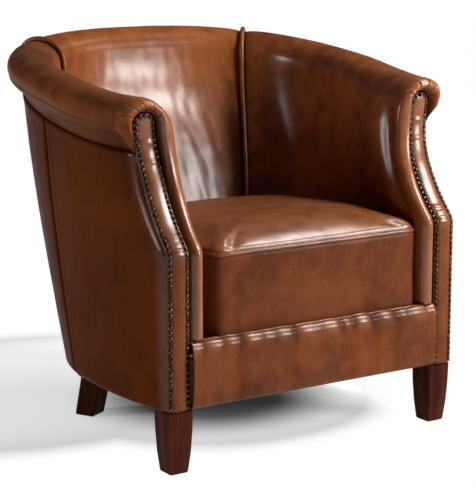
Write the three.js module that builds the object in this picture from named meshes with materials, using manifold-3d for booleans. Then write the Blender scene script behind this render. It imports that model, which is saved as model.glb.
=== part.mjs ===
// A worn leather club chair: a tub of rolled arms and back on a beech frame, a loose boxed seat cushion,
// nailed leather facings down the arm fronts, and four stained wooden legs.
// Millimetres, +Z up, -Y is the front. Heights are from the floor, and depths are from the plane of the arm
// fronts until the finished chair is moved back so that the origin is under its middle.
import * as THREE from "three";
import { mergeVertices } from "three/addons/utils/BufferGeometryUtils.js";
import Module from "manifold-3d";

const wasm = await Module();
wasm.setup();

const { lerp, smoothstep, degToRad } = THREE.MathUtils;
const HALF_TURN = Math.PI;

// Driving dimensions
const MIDDLE_DEPTH = 357.7; // from the arm-front plane to the middle of the overall depth
const GAP = 0.5; // between pieces that touch on the real chair
const LEATHER = 2; // thickness of the hide
const LEG_HEIGHT = 120; // floor to the underside of the body
const DECK_HEIGHT = 222; // lower edge of the inside covers, below the cushion
const BORDER_TOP = 249; // top of the padded border under the seat front
const SEAT_EDGE = 398; // height of the cushion's welted edge
const SEAT_CROWN = 434; // height of the cushion's middle
const ARM_TOP = 686; // crest of the roll at the arm front
const BACK_TOP = 764; // crest of the roll at the middle of the back

// Plan curves of the tub, half of each: front is the half width at the arm front, half the greatest half
// width, turn the depth where the arm becomes the back, and back the depth of its middle. A swell below 1
// widens it sooner behind the arm front.
const PLAN = {
  outerTop: { front: 335, half: 365, turn: 330, back: 700, power: 2.8, swell: 1 },
  outerFoot: { front: 331, half: 357, turn: 240, back: 545, power: 2.4, swell: 1 },
  innerDeck: { front: 251, half: 272, turn: 250, back: 440, power: 2.5, swell: 0.6 },
};
const ARM_SHARE = 0.35; // share of the half path that is arm, before the turn into the back
const BACK_SEAM = 0.714; // place along the half path of the piped seams of the inside back
const SEAM_LEAN = 0.04; // how far the inside's sections drift to the middle as they go down
const OUTER_SEAM = 0.43; // place along the half path of the outside back's seams
const SEAM_ROOM = 0.0075; // room left beside a piped seam, as a share of the half path
const SEAM_GAP = 0.0006; // half the gap between pieces that meet along the path, as a share of it

// The rolled top, whose section is a wide quarter round inside the crest and a tighter one outside it
const CREST_INSET = 8; // the crest lies this far inside the outer wall
const ROLL_INSIDE = { width: 57, height: 50 };
const ROLL_OUTSIDE = { frontWidth: 47, backWidth: 39, height: 34 };
const ROLL_END = -26; // where the outer round leaves off, degrees below its centre
const ROLL_DROP = { front: 100, back: 84 }; // crest to the seam under the roll

// The swept arm front: upright to the knee, then back along a parabola to its deepest point
const KNEE = 416;
const SWEEP_TOP = 615;
const SWEEP_DEPTH = 98;

// The padded rim round the arm front, and the nailed facing that it frames
const RIM_DEPTH = 24;
const RIM_PROUD = { foot: 8, top: 25 }; // in front of the facing, below the knee and where its head begins
const RIM_HEAD = 12; // in front of the facing round its head
const RIM_SWELL = { foot: 1, top: 14 }; // inside the arm's face
const RIM_TURN = 146; // degrees that the rim's round turns through
const PLEAT_DEPTH = 0.16; // share of the rim's round that a pleat takes away
const FACING_HALF = 22.5;
const FACING_THICK = 5;
const FACING_X = 308;
const FACING_LEAN = 13; // how far the facing's head leans outward
const FACING_TOP = 657;
const FACING_CROWN = 1.5;
const NAIL_RADIUS = 5.4;
const NAIL_PITCH = 10.8;
const NAIL_LINE = 17.5; // nail centres from the facing's middle line
const NAIL_RISE = 4.2;
const NAIL_SEAT = 2.7; // the heads' undersides stand this far in front of the facing's plane

// Frame, suspension and padding
const RAIL_INSET = 20; // outer face of the base rails inside the outer cover
const RAIL_THICK = 24;
const FRONT_RAIL_DEPTH = 14; // front face of the front rail
const RAIL_BOTTOM = 123;
const RAIL_TOP = 213;
const POST_INNER = 294;
const POST_OUTER = 326;
const POST_FRONT = 7.5; // front of the posts behind the arm-front sweep
const POST_BACK = 55;
const TOP_RAIL = { inner: -30, outer: 5, top: -48, bottom: -72 }; // from the outer wall and the crest
const WEB_WIDTH = 50;
const WEB_THICK = 2;
const BOLT_RADIUS = 4;
const BOLT_BOTTOM = 84;
const BOLT_TOP = 158;
const PIPING_RADIUS = 5;
const PIPING_PROUD = 4;

const finish = (color, roughness, metalness = 0) =>
  new THREE.MeshStandardMaterial({ color, roughness, metalness });
const MATERIAL = {
  hide: finish(0x7a4020, 0.38),
  facing: finish(0x8a4a22, 0.34),
  piping: finish(0x8b4d28, 0.4),
  nail: finish(0x4a3a28, 0.35, 0.9),
  leg: finish(0x3a1712, 0.42),
  beech: finish(0xb98a55, 0.7),
  foam: finish(0xd9cfae, 0.95),
  webbing: finish(0x6b6255, 0.9),
  cloth: finish(0x1c1b1a, 0.95),
  steel: finish(0x9a9a98, 0.4, 1),
};

const chair = new THREE.Group();
chair.position.y = -MIDDLE_DEPTH;

function add(name, geometry, material) {
  const mesh = new THREE.Mesh(geometry, material.clone());
  mesh.name = name;
  chair.add(mesh);
  return mesh;
}

// Mesh helpers

function meshOf(points, triangles) {
  const geometry = new THREE.BufferGeometry().setFromPoints(points);
  geometry.setIndex(triangles);
  geometry.computeVertexNormals();
  return geometry;
}

// A closed body between two grids of points, outer and inner, joined round their edges.
function thickSheet(outer, inner) {
  const rows = outer.length;
  const columns = outer[0].length;
  const points = [...outer.flat(), ...inner.flat()];
  const triangles = [];
  const at = (layer, i, j) => layer * rows * columns + i * columns + j;
  const quad = (a, b, c, d) => triangles.push(a, b, c, a, c, d);
  for (let i = 0; i + 1 < rows; i++) {
    for (let j = 0; j + 1 < columns; j++) {
      quad(at(0, i, j), at(0, i + 1, j), at(0, i + 1, j + 1), at(0, i, j + 1));
      quad(at(1, i, j), at(1, i, j + 1), at(1, i + 1, j + 1), at(1, i + 1, j));
    }
  }
  for (let i = 0; i + 1 < rows; i++) {
    quad(at(0, i, 0), at(1, i, 0), at(1, i + 1, 0), at(0, i + 1, 0));
    const j = columns - 1;
    quad(at(0, i, j), at(0, i + 1, j), at(1, i + 1, j), at(1, i, j));
  }
  for (let j = 0; j + 1 < columns; j++) {
    quad(at(0, 0, j), at(0, 0, j + 1), at(1, 0, j + 1), at(1, 0, j));
    const i = rows - 1;
    quad(at(0, i, j), at(1, i, j), at(1, i, j + 1), at(0, i, j + 1));
  }
  return meshOf(points, triangles);
}

// A closed body through convex rings of points, each with the same count, capped at both ends.
function loft(rings) {
  const count = rings[0].length;
  const last = (rings.length - 1) * count;
  const triangles = [];
  for (let k = 0; k + 1 < rings.length; k++) {
    for (let i = 0; i < count; i++) {
      const a = k * count + i;
      const b = k * count + ((i + 1) % count);
      triangles.push(a, b, b + count, a, b + count, a + count);
    }
  }
  for (let i = 1; i + 1 < count; i++) {
    triangles.push(0, i + 1, i, last, last + i, last + i + 1);
  }
  return meshOf(rings.flat(), triangles);
}

// A ring of points for loft: a rectangle about a centre, turned about Z, at one height.
function rectangle(x, y, z, halfWidth, halfDepth, turn = 0) {
  const across = new THREE.Vector3(Math.cos(turn), Math.sin(turn), 0);
  const along = new THREE.Vector3(-Math.sin(turn), Math.cos(turn), 0);
  const corners = [
    [-1, -1],
    [1, -1],
    [1, 1],
    [-1, 1],
  ];
  return corners.map(([a, b]) =>
    new THREE.Vector3(x, y, z)
      .addScaledVector(across, a * halfWidth)
      .addScaledVector(along, b * halfDepth),
  );
}

// A dome of rings over a closed outline, joined to a pole; floor closes it below with a second pole.
function ringsToPole(rings, pole, floor) {
  const count = rings[0].length;
  const points = [...rings.flat(), pole, ...(floor ? [floor] : [])];
  const triangles = [];
  const top = rings.length * count;
  for (let i = 0; i < count; i++) {
    const next = (i + 1) % count;
    for (let k = 0; k + 1 < rings.length; k++) {
      const a = k * count + i;
      const b = k * count + next;
      triangles.push(a, b, b + count, a, b + count, a + count);
    }
    triangles.push(top - count + i, top - count + next, top);
    if (floor) triangles.push(next, i, top + 1);
  }
  return { points, triangles };
}

// An open-bottomed cover: one dome inside another, joined round the lower edge.
function openCover(outerRings, outerPole, innerRings, innerPole) {
  const count = outerRings[0].length;
  const outer = ringsToPole(outerRings, outerPole);
  const inner = ringsToPole(innerRings, innerPole);
  const base = outer.points.length;
  const triangles = [...outer.triangles];
  for (let k = 0; k < inner.triangles.length; k += 3) {
    const [a, b, c] = inner.triangles.slice(k, k + 3);
    triangles.push(base + a, base + c, base + b);
  }
  for (let i = 0; i < count; i++) {
    const next = (i + 1) % count;
    triangles.push(i, base + i, base + next, i, base + next, next);
  }
  return meshOf([...outer.points, ...inner.points], triangles);
}

// A round welt along a closed loop of points that runs level.
function closedWelt(loop, radius, sides) {
  const count = loop.length;
  const points = [];
  const triangles = [];
  loop.forEach((point, i) => {
    const ahead = loop[(i + 1) % count].clone().sub(loop[(i + count - 1) % count]).normalize();
    const outward = new THREE.Vector3(ahead.y, -ahead.x, 0);
    for (let k = 0; k < sides; k++) {
      const angle = (2 * HALF_TURN * k) / sides;
      points.push(
        point
          .clone()
          .addScaledVector(outward, radius * Math.cos(angle))
          .setZ(point.z + radius * Math.sin(angle)),
      );
      const a = i * sides + k;
      const b = i * sides + ((k + 1) % sides);
      const c = ((i + 1) % count) * sides + ((k + 1) % sides);
      const d = ((i + 1) % count) * sides + k;
      triangles.push(a, d, c, a, c, b);
    }
  });
  return meshOf(points, triangles);
}

// An outline in plan, extruded upward from a height, with round holes.
function plate(outline, bottom, thickness, holes = []) {
  const shape = new THREE.Shape(outline);
  shape.holes = holes.map(({ x, y, radius }) =>
    new THREE.Path().absarc(x, y, radius, 0, 2 * HALF_TURN, true),
  );
  const rise = { depth: thickness, bevelEnabled: false, curveSegments: 4 };
  return new THREE.ExtrudeGeometry(shape, rise).translate(0, 0, bottom);
}

// A profile drawn in depth and height, extruded across the chair from one X to another.
function profileAcross(outline, fromX, toX) {
  const shape = new THREE.Shape(outline);
  const geometry = new THREE.ExtrudeGeometry(shape, { depth: toX - fromX, bevelEnabled: false });
  const acrossFromProfile = new THREE.Matrix4().set(0, 0, 1, fromX, 1, 0, 0, 0, 0, 1, 0, 0, 0, 0, 0, 1);
  return geometry.applyMatrix4(acrossFromProfile);
}

function solidOf(geometry) {
  const bare = geometry.clone();
  bare.deleteAttribute("normal");
  bare.deleteAttribute("uv");
  const merged = mergeVertices(bare, 1e-3);
  return new wasm.Manifold(
    new wasm.Mesh({
      numProp: 3,
      vertProperties: new Float32Array(merged.getAttribute("position").array),
      triVerts: new Uint32Array(merged.index.array),
    }),
  );
}

function geometryOf(solid) {
  const mesh = solid.getMesh();
  const geometry = new THREE.BufferGeometry();
  geometry.setAttribute("position", new THREE.BufferAttribute(mesh.vertProperties, 3));
  geometry.setIndex(new THREE.BufferAttribute(mesh.triVerts, 1));
  geometry.computeVertexNormals();
  return geometry;
}

const cut = (geometry, tools) =>
  geometryOf(tools.reduce((solid, tool) => solid.subtract(solidOf(tool)), solidOf(geometry)));

// The tub's surface. A place along it is s, from -1 at the left arm front through 0 at the middle of the back
// to 1 at the right arm front.

function planPoint(plan, u) {
  if (u < ARM_SHARE) {
    const t = u / ARM_SHARE;
    const x = plan.front + (plan.half - plan.front) * Math.sin((t ** plan.swell * HALF_TURN) / 2);
    return new THREE.Vector2(x, plan.turn * t);
  }
  const angle = (((u - ARM_SHARE) / (1 - ARM_SHARE)) * HALF_TURN) / 2;
  const acrossTerm = (Math.abs(Math.cos(angle)) / plan.half) ** plan.power;
  const backTerm = (Math.sin(angle) / (plan.back - plan.turn)) ** plan.power;
  const reach = (acrossTerm + backTerm) ** (-1 / plan.power);
  return new THREE.Vector2(reach * Math.cos(angle), plan.turn + reach * Math.sin(angle));
}

function planNormal(plan, u) {
  const step = 1e-3;
  const ahead = planPoint(plan, Math.min(1, u + step)).sub(planPoint(plan, Math.max(0, u - step)));
  return new THREE.Vector2(ahead.y, -ahead.x).normalize();
}

const planInset = (plan, u, inset) => planPoint(plan, u).addScaledVector(planNormal(plan, u), -inset);

function frontSweep(z) {
  if (z < KNEE) return 0;
  return SWEEP_DEPTH * (1 - ((z - SWEEP_TOP) / (SWEEP_TOP - KNEE)) ** 2);
}

const halfPath = (s) => 1 - Math.abs(s);
const crestHeight = (s) => lerp(ARM_TOP, BACK_TOP, smoothstep(halfPath(s), 0, 0.95));

// Puts a plan point at a height, on its own side, moved back with the swept arm front.
function place(s, xy, z, setback) {
  const armFront = Math.max(0, 1 - halfPath(s) / ARM_SHARE);
  return new THREE.Vector3(Math.sign(s) * xy.x, xy.y + armFront * (frontSweep(z) + setback), z);
}

// A point of the roll's section: outward from the outer wall and up from the crest.
function rollPoint(s, [outward, up]) {
  const xy = planInset(PLAN.outerTop, halfPath(s), -outward);
  return place(s, xy, crestHeight(s) + up, RIM_DEPTH);
}

const towardBack = (s) => smoothstep(halfPath(s), 0.1, 0.6);
const rollDrop = (s) => lerp(ROLL_DROP.front, ROLL_DROP.back, smoothstep(halfPath(s), 0.35, 0.65));

// The roll's round at an angle, 180 degrees where it leaves the inside and 90 at the crest, sunk by a depth.
function rollRound(s, angle, sink = 0) {
  const isInside = angle > HALF_TURN / 2;
  const outerWidth = lerp(ROLL_OUTSIDE.frontWidth, ROLL_OUTSIDE.backWidth, towardBack(s));
  const width = isInside ? ROLL_INSIDE.width : outerWidth;
  const height = isInside ? ROLL_INSIDE.height : ROLL_OUTSIDE.height;
  return [
    (width - sink) * Math.cos(angle) - CREST_INSET,
    (height - sink) * Math.sin(angle) - height,
  ];
}

// The inside face, leaning out to the roll: from above the knee at the arms, and all the way up at the back.
function insidePoint(s, z) {
  const u = halfPath(s);
  const leanStart = lerp(KNEE + 54, DECK_HEIGHT, smoothstep(u, 0.2, 0.6));
  const rise = smoothstep(z, leanStart, crestHeight(s) - ROLL_INSIDE.height);
  const drift = SEAM_LEAN * Math.sin(HALF_TURN * u) * (1 - rise);
  const headline = planInset(PLAN.outerTop, u, CREST_INSET + ROLL_INSIDE.width);
  return place(s, planPoint(PLAN.innerDeck, u + drift).lerp(headline, rise), z, RIM_DEPTH);
}

const SEAM_LIP = 1.5; // the seam under the roll stands this far off the outer wall
const BELOW_KNEE_STEPS = 3;
const INSIDE_STEPS = 8;
const ROLL_STEPS = 12;
const UNDER_STEPS = 2;
const COVER_STEPS = INSIDE_STEPS + ROLL_STEPS + UNDER_STEPS;
const rollAngle = (step) => degToRad(lerp(180, ROLL_END, step / ROLL_STEPS));
const coverFoot = (s) => lerp(BORDER_TOP + 4, DECK_HEIGHT, smoothstep(halfPath(s), 0, 0.06));

// Heights up the inside face, with one of the steps at the knee of the arm front.
function insideHeight(step, foot, top) {
  if (step <= BELOW_KNEE_STEPS) return lerp(foot, KNEE, step / BELOW_KNEE_STEPS);
  return lerp(KNEE, top, (step - BELOW_KNEE_STEPS) / (INSIDE_STEPS - BELOW_KNEE_STEPS));
}

// The inside cover's section at s: up the inside, over the roll and under it to the seam.
function coverSection(s) {
  const section = [];
  const top = crestHeight(s) - ROLL_INSIDE.height;
  for (let k = 0; k <= INSIDE_STEPS; k++) {
    section.push(insidePoint(s, insideHeight(k, coverFoot(s), top)));
  }
  for (let k = 1; k <= ROLL_STEPS; k++) {
    section.push(rollPoint(s, rollRound(s, rollAngle(k))));
  }
  const [lastOut, lastUp] = rollRound(s, rollAngle(ROLL_STEPS));
  for (let k = 1; k <= UNDER_STEPS; k++) {
    const share = k / UNDER_STEPS;
    section.push(rollPoint(s, [lerp(lastOut, SEAM_LIP, share), lerp(lastUp, -rollDrop(s), share)]));
  }
  return section;
}

const facingMiddle = (z) => FACING_X + FACING_LEAN * smoothstep(z, 520, 680);
const ARCH_CENTRE = FACING_TOP - FACING_HALF;
const RIM_MARGIN = 2.5; // the rim ends this far outside the facing
const RIM_FLARE = 6; // and this much further out where it runs down to the seam under the roll

// Where the rim ends beside the facing, for each step of the cover's section.
function rimEnd(side, step) {
  const reach = FACING_HALF + RIM_MARGIN;
  let x;
  let z;
  if (step <= INSIDE_STEPS) {
    z = insideHeight(step, coverFoot(side), ARCH_CENTRE);
    x = facingMiddle(z) - reach;
  } else if (step <= INSIDE_STEPS + ROLL_STEPS) {
    const angle = HALF_TURN * (1 - (step - INSIDE_STEPS) / ROLL_STEPS);
    z = ARCH_CENTRE + reach * Math.sin(angle);
    x = facingMiddle(ARCH_CENTRE) + reach * Math.cos(angle);
  } else {
    const share = (step - INSIDE_STEPS - ROLL_STEPS) / UNDER_STEPS;
    z = lerp(ARCH_CENTRE, ARM_TOP - ROLL_DROP.front, share);
    x = facingMiddle(z) + reach + RIM_FLARE * share;
  }
  return new THREE.Vector3(side * x, frontSweep(z), z);
}

// Pleats are gathered round the head of the rim, at every other step of the roll.
const isPleat = (step) => {
  const roll = step - INSIDE_STEPS;
  return roll >= 2 && roll <= ROLL_STEPS - 2 && roll % 2 === 0;
};

// How far the rim stands in front of the facing, by the step of the section and its height.
function rimProud(step, z) {
  const side = lerp(RIM_PROUD.foot, RIM_PROUD.top, smoothstep(z, 430, 620));
  return lerp(side, RIM_HEAD, smoothstep(step, INSIDE_STEPS - 1, INSIDE_STEPS + 4));
}

// How far the rim swells inside the arm's face, until it turns over the head.
function rimSwell(step, z) {
  const side = lerp(RIM_SWELL.foot, RIM_SWELL.top, smoothstep(z, 420, 620));
  return side * (1 - smoothstep(step, INSIDE_STEPS - 1, INSIDE_STEPS + 3));
}

// The rim from the arm's section, at w 0, round to the facing's edge, at w 1.
function rimSection(side, w) {
  const turn = degToRad(RIM_TURN) * w;
  const inward = (1 - Math.cos(turn)) / (1 - Math.cos(degToRad(RIM_TURN)));
  return coverSection(side).map((from, step) => {
    const to = rimEnd(side, step);
    const crease = isPleat(step) ? 1 - PLEAT_DEPTH : 1;
    const forward = (RIM_DEPTH + rimProud(step, from.z)) * Math.sin(turn) * crease;
    const point = from.clone().lerp(to, inward);
    point.x -= side * rimSwell(step, from.z) * Math.max(0, Math.sin(2 * turn));
    point.y = lerp(frontSweep(from.z), frontSweep(to.z), inward) + RIM_DEPTH - forward;
    return point;
  });
}

// Moves a grid inward along its normals. Rows run along the path and columns up the section.
function sunk(grid, depthOfRow) {
  const lastRow = grid.length - 1;
  const lastColumn = grid[0].length - 1;
  return grid.map((row, i) =>
    row.map((point, j) => {
      const along = grid[Math.min(lastRow, i + 1)][j].clone().sub(grid[Math.max(0, i - 1)][j]);
      const up = row[Math.min(lastColumn, j + 1)].clone().sub(row[Math.max(0, j - 1)]);
      return point.clone().addScaledVector(up.cross(along).normalize(), depthOfRow(i));
    }),
  );
}

const hideOf = (skin) =>
  thickSheet(
    skin,
    sunk(skin, () => LEATHER),
  );
const spaced = (from, to, steps) =>
  Array.from({ length: steps + 1 }, (_, k) => lerp(from, to, k / steps));
const SIDES = { left: -1, right: 1 };

// Stations along one side of the tub, given as shares of the half path, in order of rising s.
function sideStations(side, shares) {
  const stations = shares.map((u) => side * (1 - u));
  return side < 0 ? stations : stations.reverse();
}

const backStations = (from, steps) => spaced(from - 1, 1 - from, steps);

// Inside covers, with the padding behind them

const ARM_STEPS = 11;
const BACK_STEPS = 8;
const RIM_STEPS = 4;
const PAD_SINK = LEATHER + 1.4;
const PAD_THICK = 25;
const PAD_THIN = 10; // beside the front posts
const ROLL_PAD_STEPS = 8;
const ROLL_PAD_FROM = 174; // degrees of the roll's round that the padding fills
const ROLL_PAD_TO = -4;
const ROLL_PAD_UNDERCUT = 0.6; // share of the outer half that the flat underside keeps
const padDepth = (s) => PAD_SINK + lerp(PAD_THIN, PAD_THICK, smoothstep(halfPath(s), 0, 0.15));

// Padding of the upright inside face.
function facePad(stations) {
  const grid = stations.map(coverSection);
  const face = (depthOfRow) => sunk(grid, depthOfRow).map((row) => row.slice(0, INSIDE_STEPS));
  return thickSheet(
    face(() => PAD_SINK),
    face((i) => padDepth(stations[i])),
  );
}

// Half-round padding of the roll, flat underneath where it lies on the top rail.
function rollPad(stations) {
  const angles = spaced(degToRad(ROLL_PAD_FROM), degToRad(ROLL_PAD_TO), ROLL_PAD_STEPS);
  const round = stations.map((s) => angles.map((a) => rollPoint(s, rollRound(s, a, PAD_SINK))));
  const flat = stations.map((s) =>
    angles.map((a) => {
      const [outward] = rollRound(s, a, PAD_SINK + 1);
      const flatOutward = outward < 0 ? outward : ROLL_PAD_UNDERCUT * outward;
      return rollPoint(s, [flatOutward, TOP_RAIL.top + GAP]);
    }),
  );
  return thickSheet(round, flat);
}

function addInsideArm(name, side) {
  const shares = spaced(0, BACK_SEAM - SEAM_ROOM, ARM_STEPS);
  const sections = sideStations(side, shares).map(coverSection);
  const rim = spaced(1, 1 / RIM_STEPS, RIM_STEPS - 1).map((w) => rimSection(side, w));
  const skin = side < 0 ? [...rim, ...sections] : [...sections, ...rim.reverse()];
  add(`inside_arm_cover_${name}`, hideOf(skin), MATERIAL.hide);
  const padStations = sideStations(side, [...shares, BACK_SEAM - SEAM_GAP]);
  add(`arm_pad_${name}`, facePad(padStations), MATERIAL.foam);
  add(`arm_roll_pad_${name}`, rollPad(padStations), MATERIAL.foam);
}

function addInsideBack() {
  const stations = backStations(BACK_SEAM + SEAM_ROOM, BACK_STEPS);
  add("inside_back_cover", hideOf(stations.map(coverSection)), MATERIAL.hide);
  const edge = 1 - BACK_SEAM - SEAM_GAP;
  const padStations = [-edge, ...stations, edge];
  add("back_pad", facePad(padStations), MATERIAL.foam);
  add("back_roll_pad", rollPad(padStations), MATERIAL.foam);
}

// Welts of the two seams of the inside back, from the deck over the roll to the seam under it.
function addBackPiping(name, side) {
  const s = side * (1 - BACK_SEAM);
  const sections = [s - 0.005, s, s + 0.005].map(coverSection);
  const line = sunk(sections, () => -PIPING_PROUD)[1];
  const round = new THREE.Shape().absarc(0, 0, PIPING_RADIUS, 0, 2 * HALF_TURN);
  const welt = {
    steps: COVER_STEPS + 4,
    extrudePath: new THREE.CatmullRomCurve3(line),
    curveSegments: 4,
    bevelEnabled: false,
  };
  add(`back_piping_${name}`, new THREE.ExtrudeGeometry(round, welt), MATERIAL.piping);
}

// Outside covers, from the seam under the roll down to the rounded lower edge

const OUTSIDE_SETBACK = FACING_THICK + 2.5;
const hemRadius = (s) => lerp(8, 24, smoothstep(halfPath(s), 0.1, 0.5));

function outsidePoint(s, z) {
  const u = halfPath(s);
  const rise = (z - LEG_HEIGHT) / (crestHeight(s) - rollDrop(s) - LEG_HEIGHT);
  const flare = 1 - (1 - Math.min(1, rise)) ** 1.35;
  const xy = planPoint(PLAN.outerFoot, u).lerp(planPoint(PLAN.outerTop, u), flare);
  return place(s, xy, z, OUTSIDE_SETBACK);
}

// From the top down, so that the rows of stations run against rising s to face outward.
function outsideSection(s) {
  const radius = hemRadius(s);
  const foot = LEG_HEIGHT + radius;
  const top = crestHeight(s) - rollDrop(s) - 2;
  const heights = [...spaced(top, KNEE, 4), ...spaced(KNEE, foot, 3).slice(1)];
  const wall = heights.map((z) => outsidePoint(s, z));
  const inward = planNormal(PLAN.outerFoot, halfPath(s)).multiplyScalar(-1);
  for (const angle of [30, 60, 90].map(degToRad)) {
    const tuck = radius * (1 - Math.cos(angle));
    const drop = radius * Math.sin(angle);
    const turned = new THREE.Vector3(Math.sign(s) * inward.x * tuck, inward.y * tuck, -drop);
    wall.push(outsidePoint(s, foot).add(turned));
  }
  return wall;
}

function addOutside() {
  for (const [name, side] of Object.entries(SIDES)) {
    const stations = sideStations(side, spaced(0, OUTER_SEAM - SEAM_GAP, 7));
    add(`outside_arm_cover_${name}`, hideOf(stations.map(outsideSection)), MATERIAL.hide);
  }
  const stations = backStations(OUTER_SEAM + SEAM_GAP, 16);
  add("outside_back_cover", hideOf(stations.map(outsideSection)), MATERIAL.hide);
}

// Facings: a narrow panel down each arm front with a round head, and a line of nails round its edge

function addFacing(name, side) {
  const rise = [...spaced(LEG_HEIGHT + 3, KNEE, 3), ...spaced(KNEE, ARCH_CENTRE, 9).slice(1)];
  const arch = [20, 40, 60, 76].map((angle) => ARCH_CENTRE + FACING_HALF * Math.sin(degToRad(angle)));
  const halfWidth = (z) => Math.sqrt(FACING_HALF ** 2 - Math.max(0, z - ARCH_CENTRE) ** 2);
  const across = spaced(-1, 1, 4);
  const point = (z, a, depth) => {
    const x = facingMiddle(Math.min(z, ARCH_CENTRE)) + side * a * halfWidth(z);
    return new THREE.Vector3(side * x, frontSweep(z) + depth, z);
  };
  const heights = [...rise, ...arch];
  const front = across.map((a) => heights.map((z) => point(z, a, -FACING_CROWN * (1 - a * a))));
  const back = across.map((a) => heights.map((z) => point(z, a, FACING_THICK)));
  add(`arm_facing_${name}`, thickSheet(front, back), MATERIAL.facing);
}

// The nails' line: up the inner edge, round the head and down the outer edge.
function nailLine(side) {
  const foot = LEG_HEIGHT + 9;
  const rise = [...spaced(foot, KNEE, 12), ...spaced(KNEE, ARCH_CENTRE, 16).slice(1)];
  const arch = spaced(HALF_TURN, 0, 10).slice(1, -1);
  const at = (x, z) => new THREE.Vector3(side * x, frontSweep(z), z);
  const inner = rise.map((z) => at(facingMiddle(z) - NAIL_LINE, z));
  const head = arch.map((a) =>
    at(facingMiddle(ARCH_CENTRE) + NAIL_LINE * Math.cos(a), ARCH_CENTRE + NAIL_LINE * Math.sin(a)),
  );
  const outer = rise.map((z) => at(facingMiddle(z) + NAIL_LINE, z)).reverse();
  return new THREE.CatmullRomCurve3([...inner, ...head, ...outer], false, "centripetal");
}

// Nail heads in a touching row, as one body: each is a faceted dome that narrows to a neck at its neighbour.
function addNails(name, side) {
  const line = nailLine(side);
  const count = Math.round(line.getLength() / NAIL_PITCH);
  const stations = line.getSpacedPoints(2 * count);
  const rings = stations.map((station, k) => {
    const isHead = k % 2 === 0;
    const half = isHead ? NAIL_RADIUS : NAIL_RADIUS * 0.36;
    const rise = isHead ? NAIL_RISE : NAIL_RISE * 0.3;
    const slope = (frontSweep(station.z + 1) - frontSweep(station.z - 1)) / 2;
    const outward = new THREE.Vector3(0, -1, slope).normalize();
    const ahead = stations[Math.min(2 * count, k + 1)].clone().sub(stations[Math.max(0, k - 1)]);
    const across = ahead.cross(outward).normalize();
    const base = station.clone().addScaledVector(outward, NAIL_SEAT);
    const crown = base.clone().addScaledVector(outward, rise);
    return [
      base.clone().addScaledVector(across, half),
      base.clone().addScaledVector(across, -half),
      crown.clone().addScaledVector(across, -half * 0.45),
      crown.clone().addScaledVector(across, half * 0.45),
    ];
  });
  add(`nail_trim_${name}`, loft(rings), MATERIAL.nail);
}

// The padded border under the seat front, gathered along its upper edge

const BORDER_HALF = 282;
const BORDER_STEPS = 18;

function addBorder() {
  const profile = [
    [20, 121],
    [1, 121],
    [-6, 126],
    [-10.5, 150],
    [-12, 185],
    [-10.5, 220],
    [-6.5, 239],
    [-1, BORDER_TOP - 1],
    [4, BORDER_TOP - 1],
    [7, 244],
    [7.5, 236],
  ];
  const gathered = 6; // profile points from here up are drawn back at each gather
  const skin = spaced(-BORDER_HALF, BORDER_HALF, BORDER_STEPS).map((x, i) =>
    profile.map(([y, z], j) => {
      const tuck = i % 2 === 1 && j >= gathered && j < gathered + 3 ? 2 : 0;
      return new THREE.Vector3(x, y + tuck, z - tuck);
    }),
  );
  add("front_border_cover", hideOf(skin), MATERIAL.facing);
  const pad = [
    [13.5, 125],
    [2, 125],
    [-1.5, 130],
    [-6.5, 153],
    [-8, 185],
    [-6.5, 215],
    [-1.5, 233],
    [1, 240],
    [3.5, 238],
    [3.5, 222],
    [13.5, 211],
  ].map(([y, z]) => new THREE.Vector2(y, z));
  add("front_border_pad", profileAcross(pad, -BORDER_HALF + 2, BORDER_HALF - 2), MATERIAL.foam);
}

// The loose seat cushion: a boxed leather cover with a welted edge, its foam core and its cloth base

const CUSHION_FRONT = 10;
const CUSHION_CORNER = 15;
const CUSHION_FOOT = 237;
const CUSHION_ROOM = 6; // between the cushion and the inside covers
const BACK_ROOM = 10; // more of it at the back, for the piped seams
const CUSHION_MIDDLE = new THREE.Vector2(0, 225);

// The cushion's outline at a height: the front edge, a round corner, round the back and a second corner.
function cushionLoop(z, inset, height = z) {
  const side = spaced(0.01, 1, 15).map((u) => {
    const wall = insidePoint(1 - u, z);
    const normal = planNormal(PLAN.innerDeck, u);
    const room = inset + BACK_ROOM * smoothstep(u, 0.5, 0.65);
    return new THREE.Vector2(wall.x - normal.x * room, wall.y - normal.y * room);
  });
  const [start] = side;
  const front = CUSHION_FRONT + inset - CUSHION_ROOM;
  const corner = [90, 60, 30].map(degToRad).map((a) => {
    const x = start.x - CUSHION_CORNER * (1 - Math.cos(a));
    return new THREE.Vector2(x, start.y - (start.y - front) * Math.sin(a));
  });
  const edge = spaced(0, corner[0].x, 3).slice(0, -1).map((x) => new THREE.Vector2(x, front));
  const half = [...edge, ...corner, ...side];
  const mirrored = half
    .slice(1, -1)
    .reverse()
    .map(({ x, y }) => new THREE.Vector2(-x, y));
  return [...half, ...mirrored].map(({ x, y }) => new THREE.Vector3(x, y, height));
}

function cushionRings(sink, foot) {
  const inset = CUSHION_ROOM + sink;
  const towardMiddle = (ring, share, height) =>
    ring.map(({ x, y }) => new THREE.Vector3(x * share, lerp(CUSHION_MIDDLE.y, y, share), height));
  const shoulder = cushionLoop(SEAT_EDGE, inset + 9, SEAT_EDGE + 3 - sink);
  return [
    cushionLoop(foot, inset),
    cushionLoop(310, inset),
    cushionLoop(SEAT_EDGE - 10, inset, SEAT_EDGE - 10 - sink),
    shoulder,
    towardMiddle(shoulder, 0.82, lerp(SEAT_EDGE, SEAT_CROWN, 0.62) - sink),
    towardMiddle(shoulder, 0.5, lerp(SEAT_EDGE, SEAT_CROWN, 0.9) - sink),
  ];
}

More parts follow.
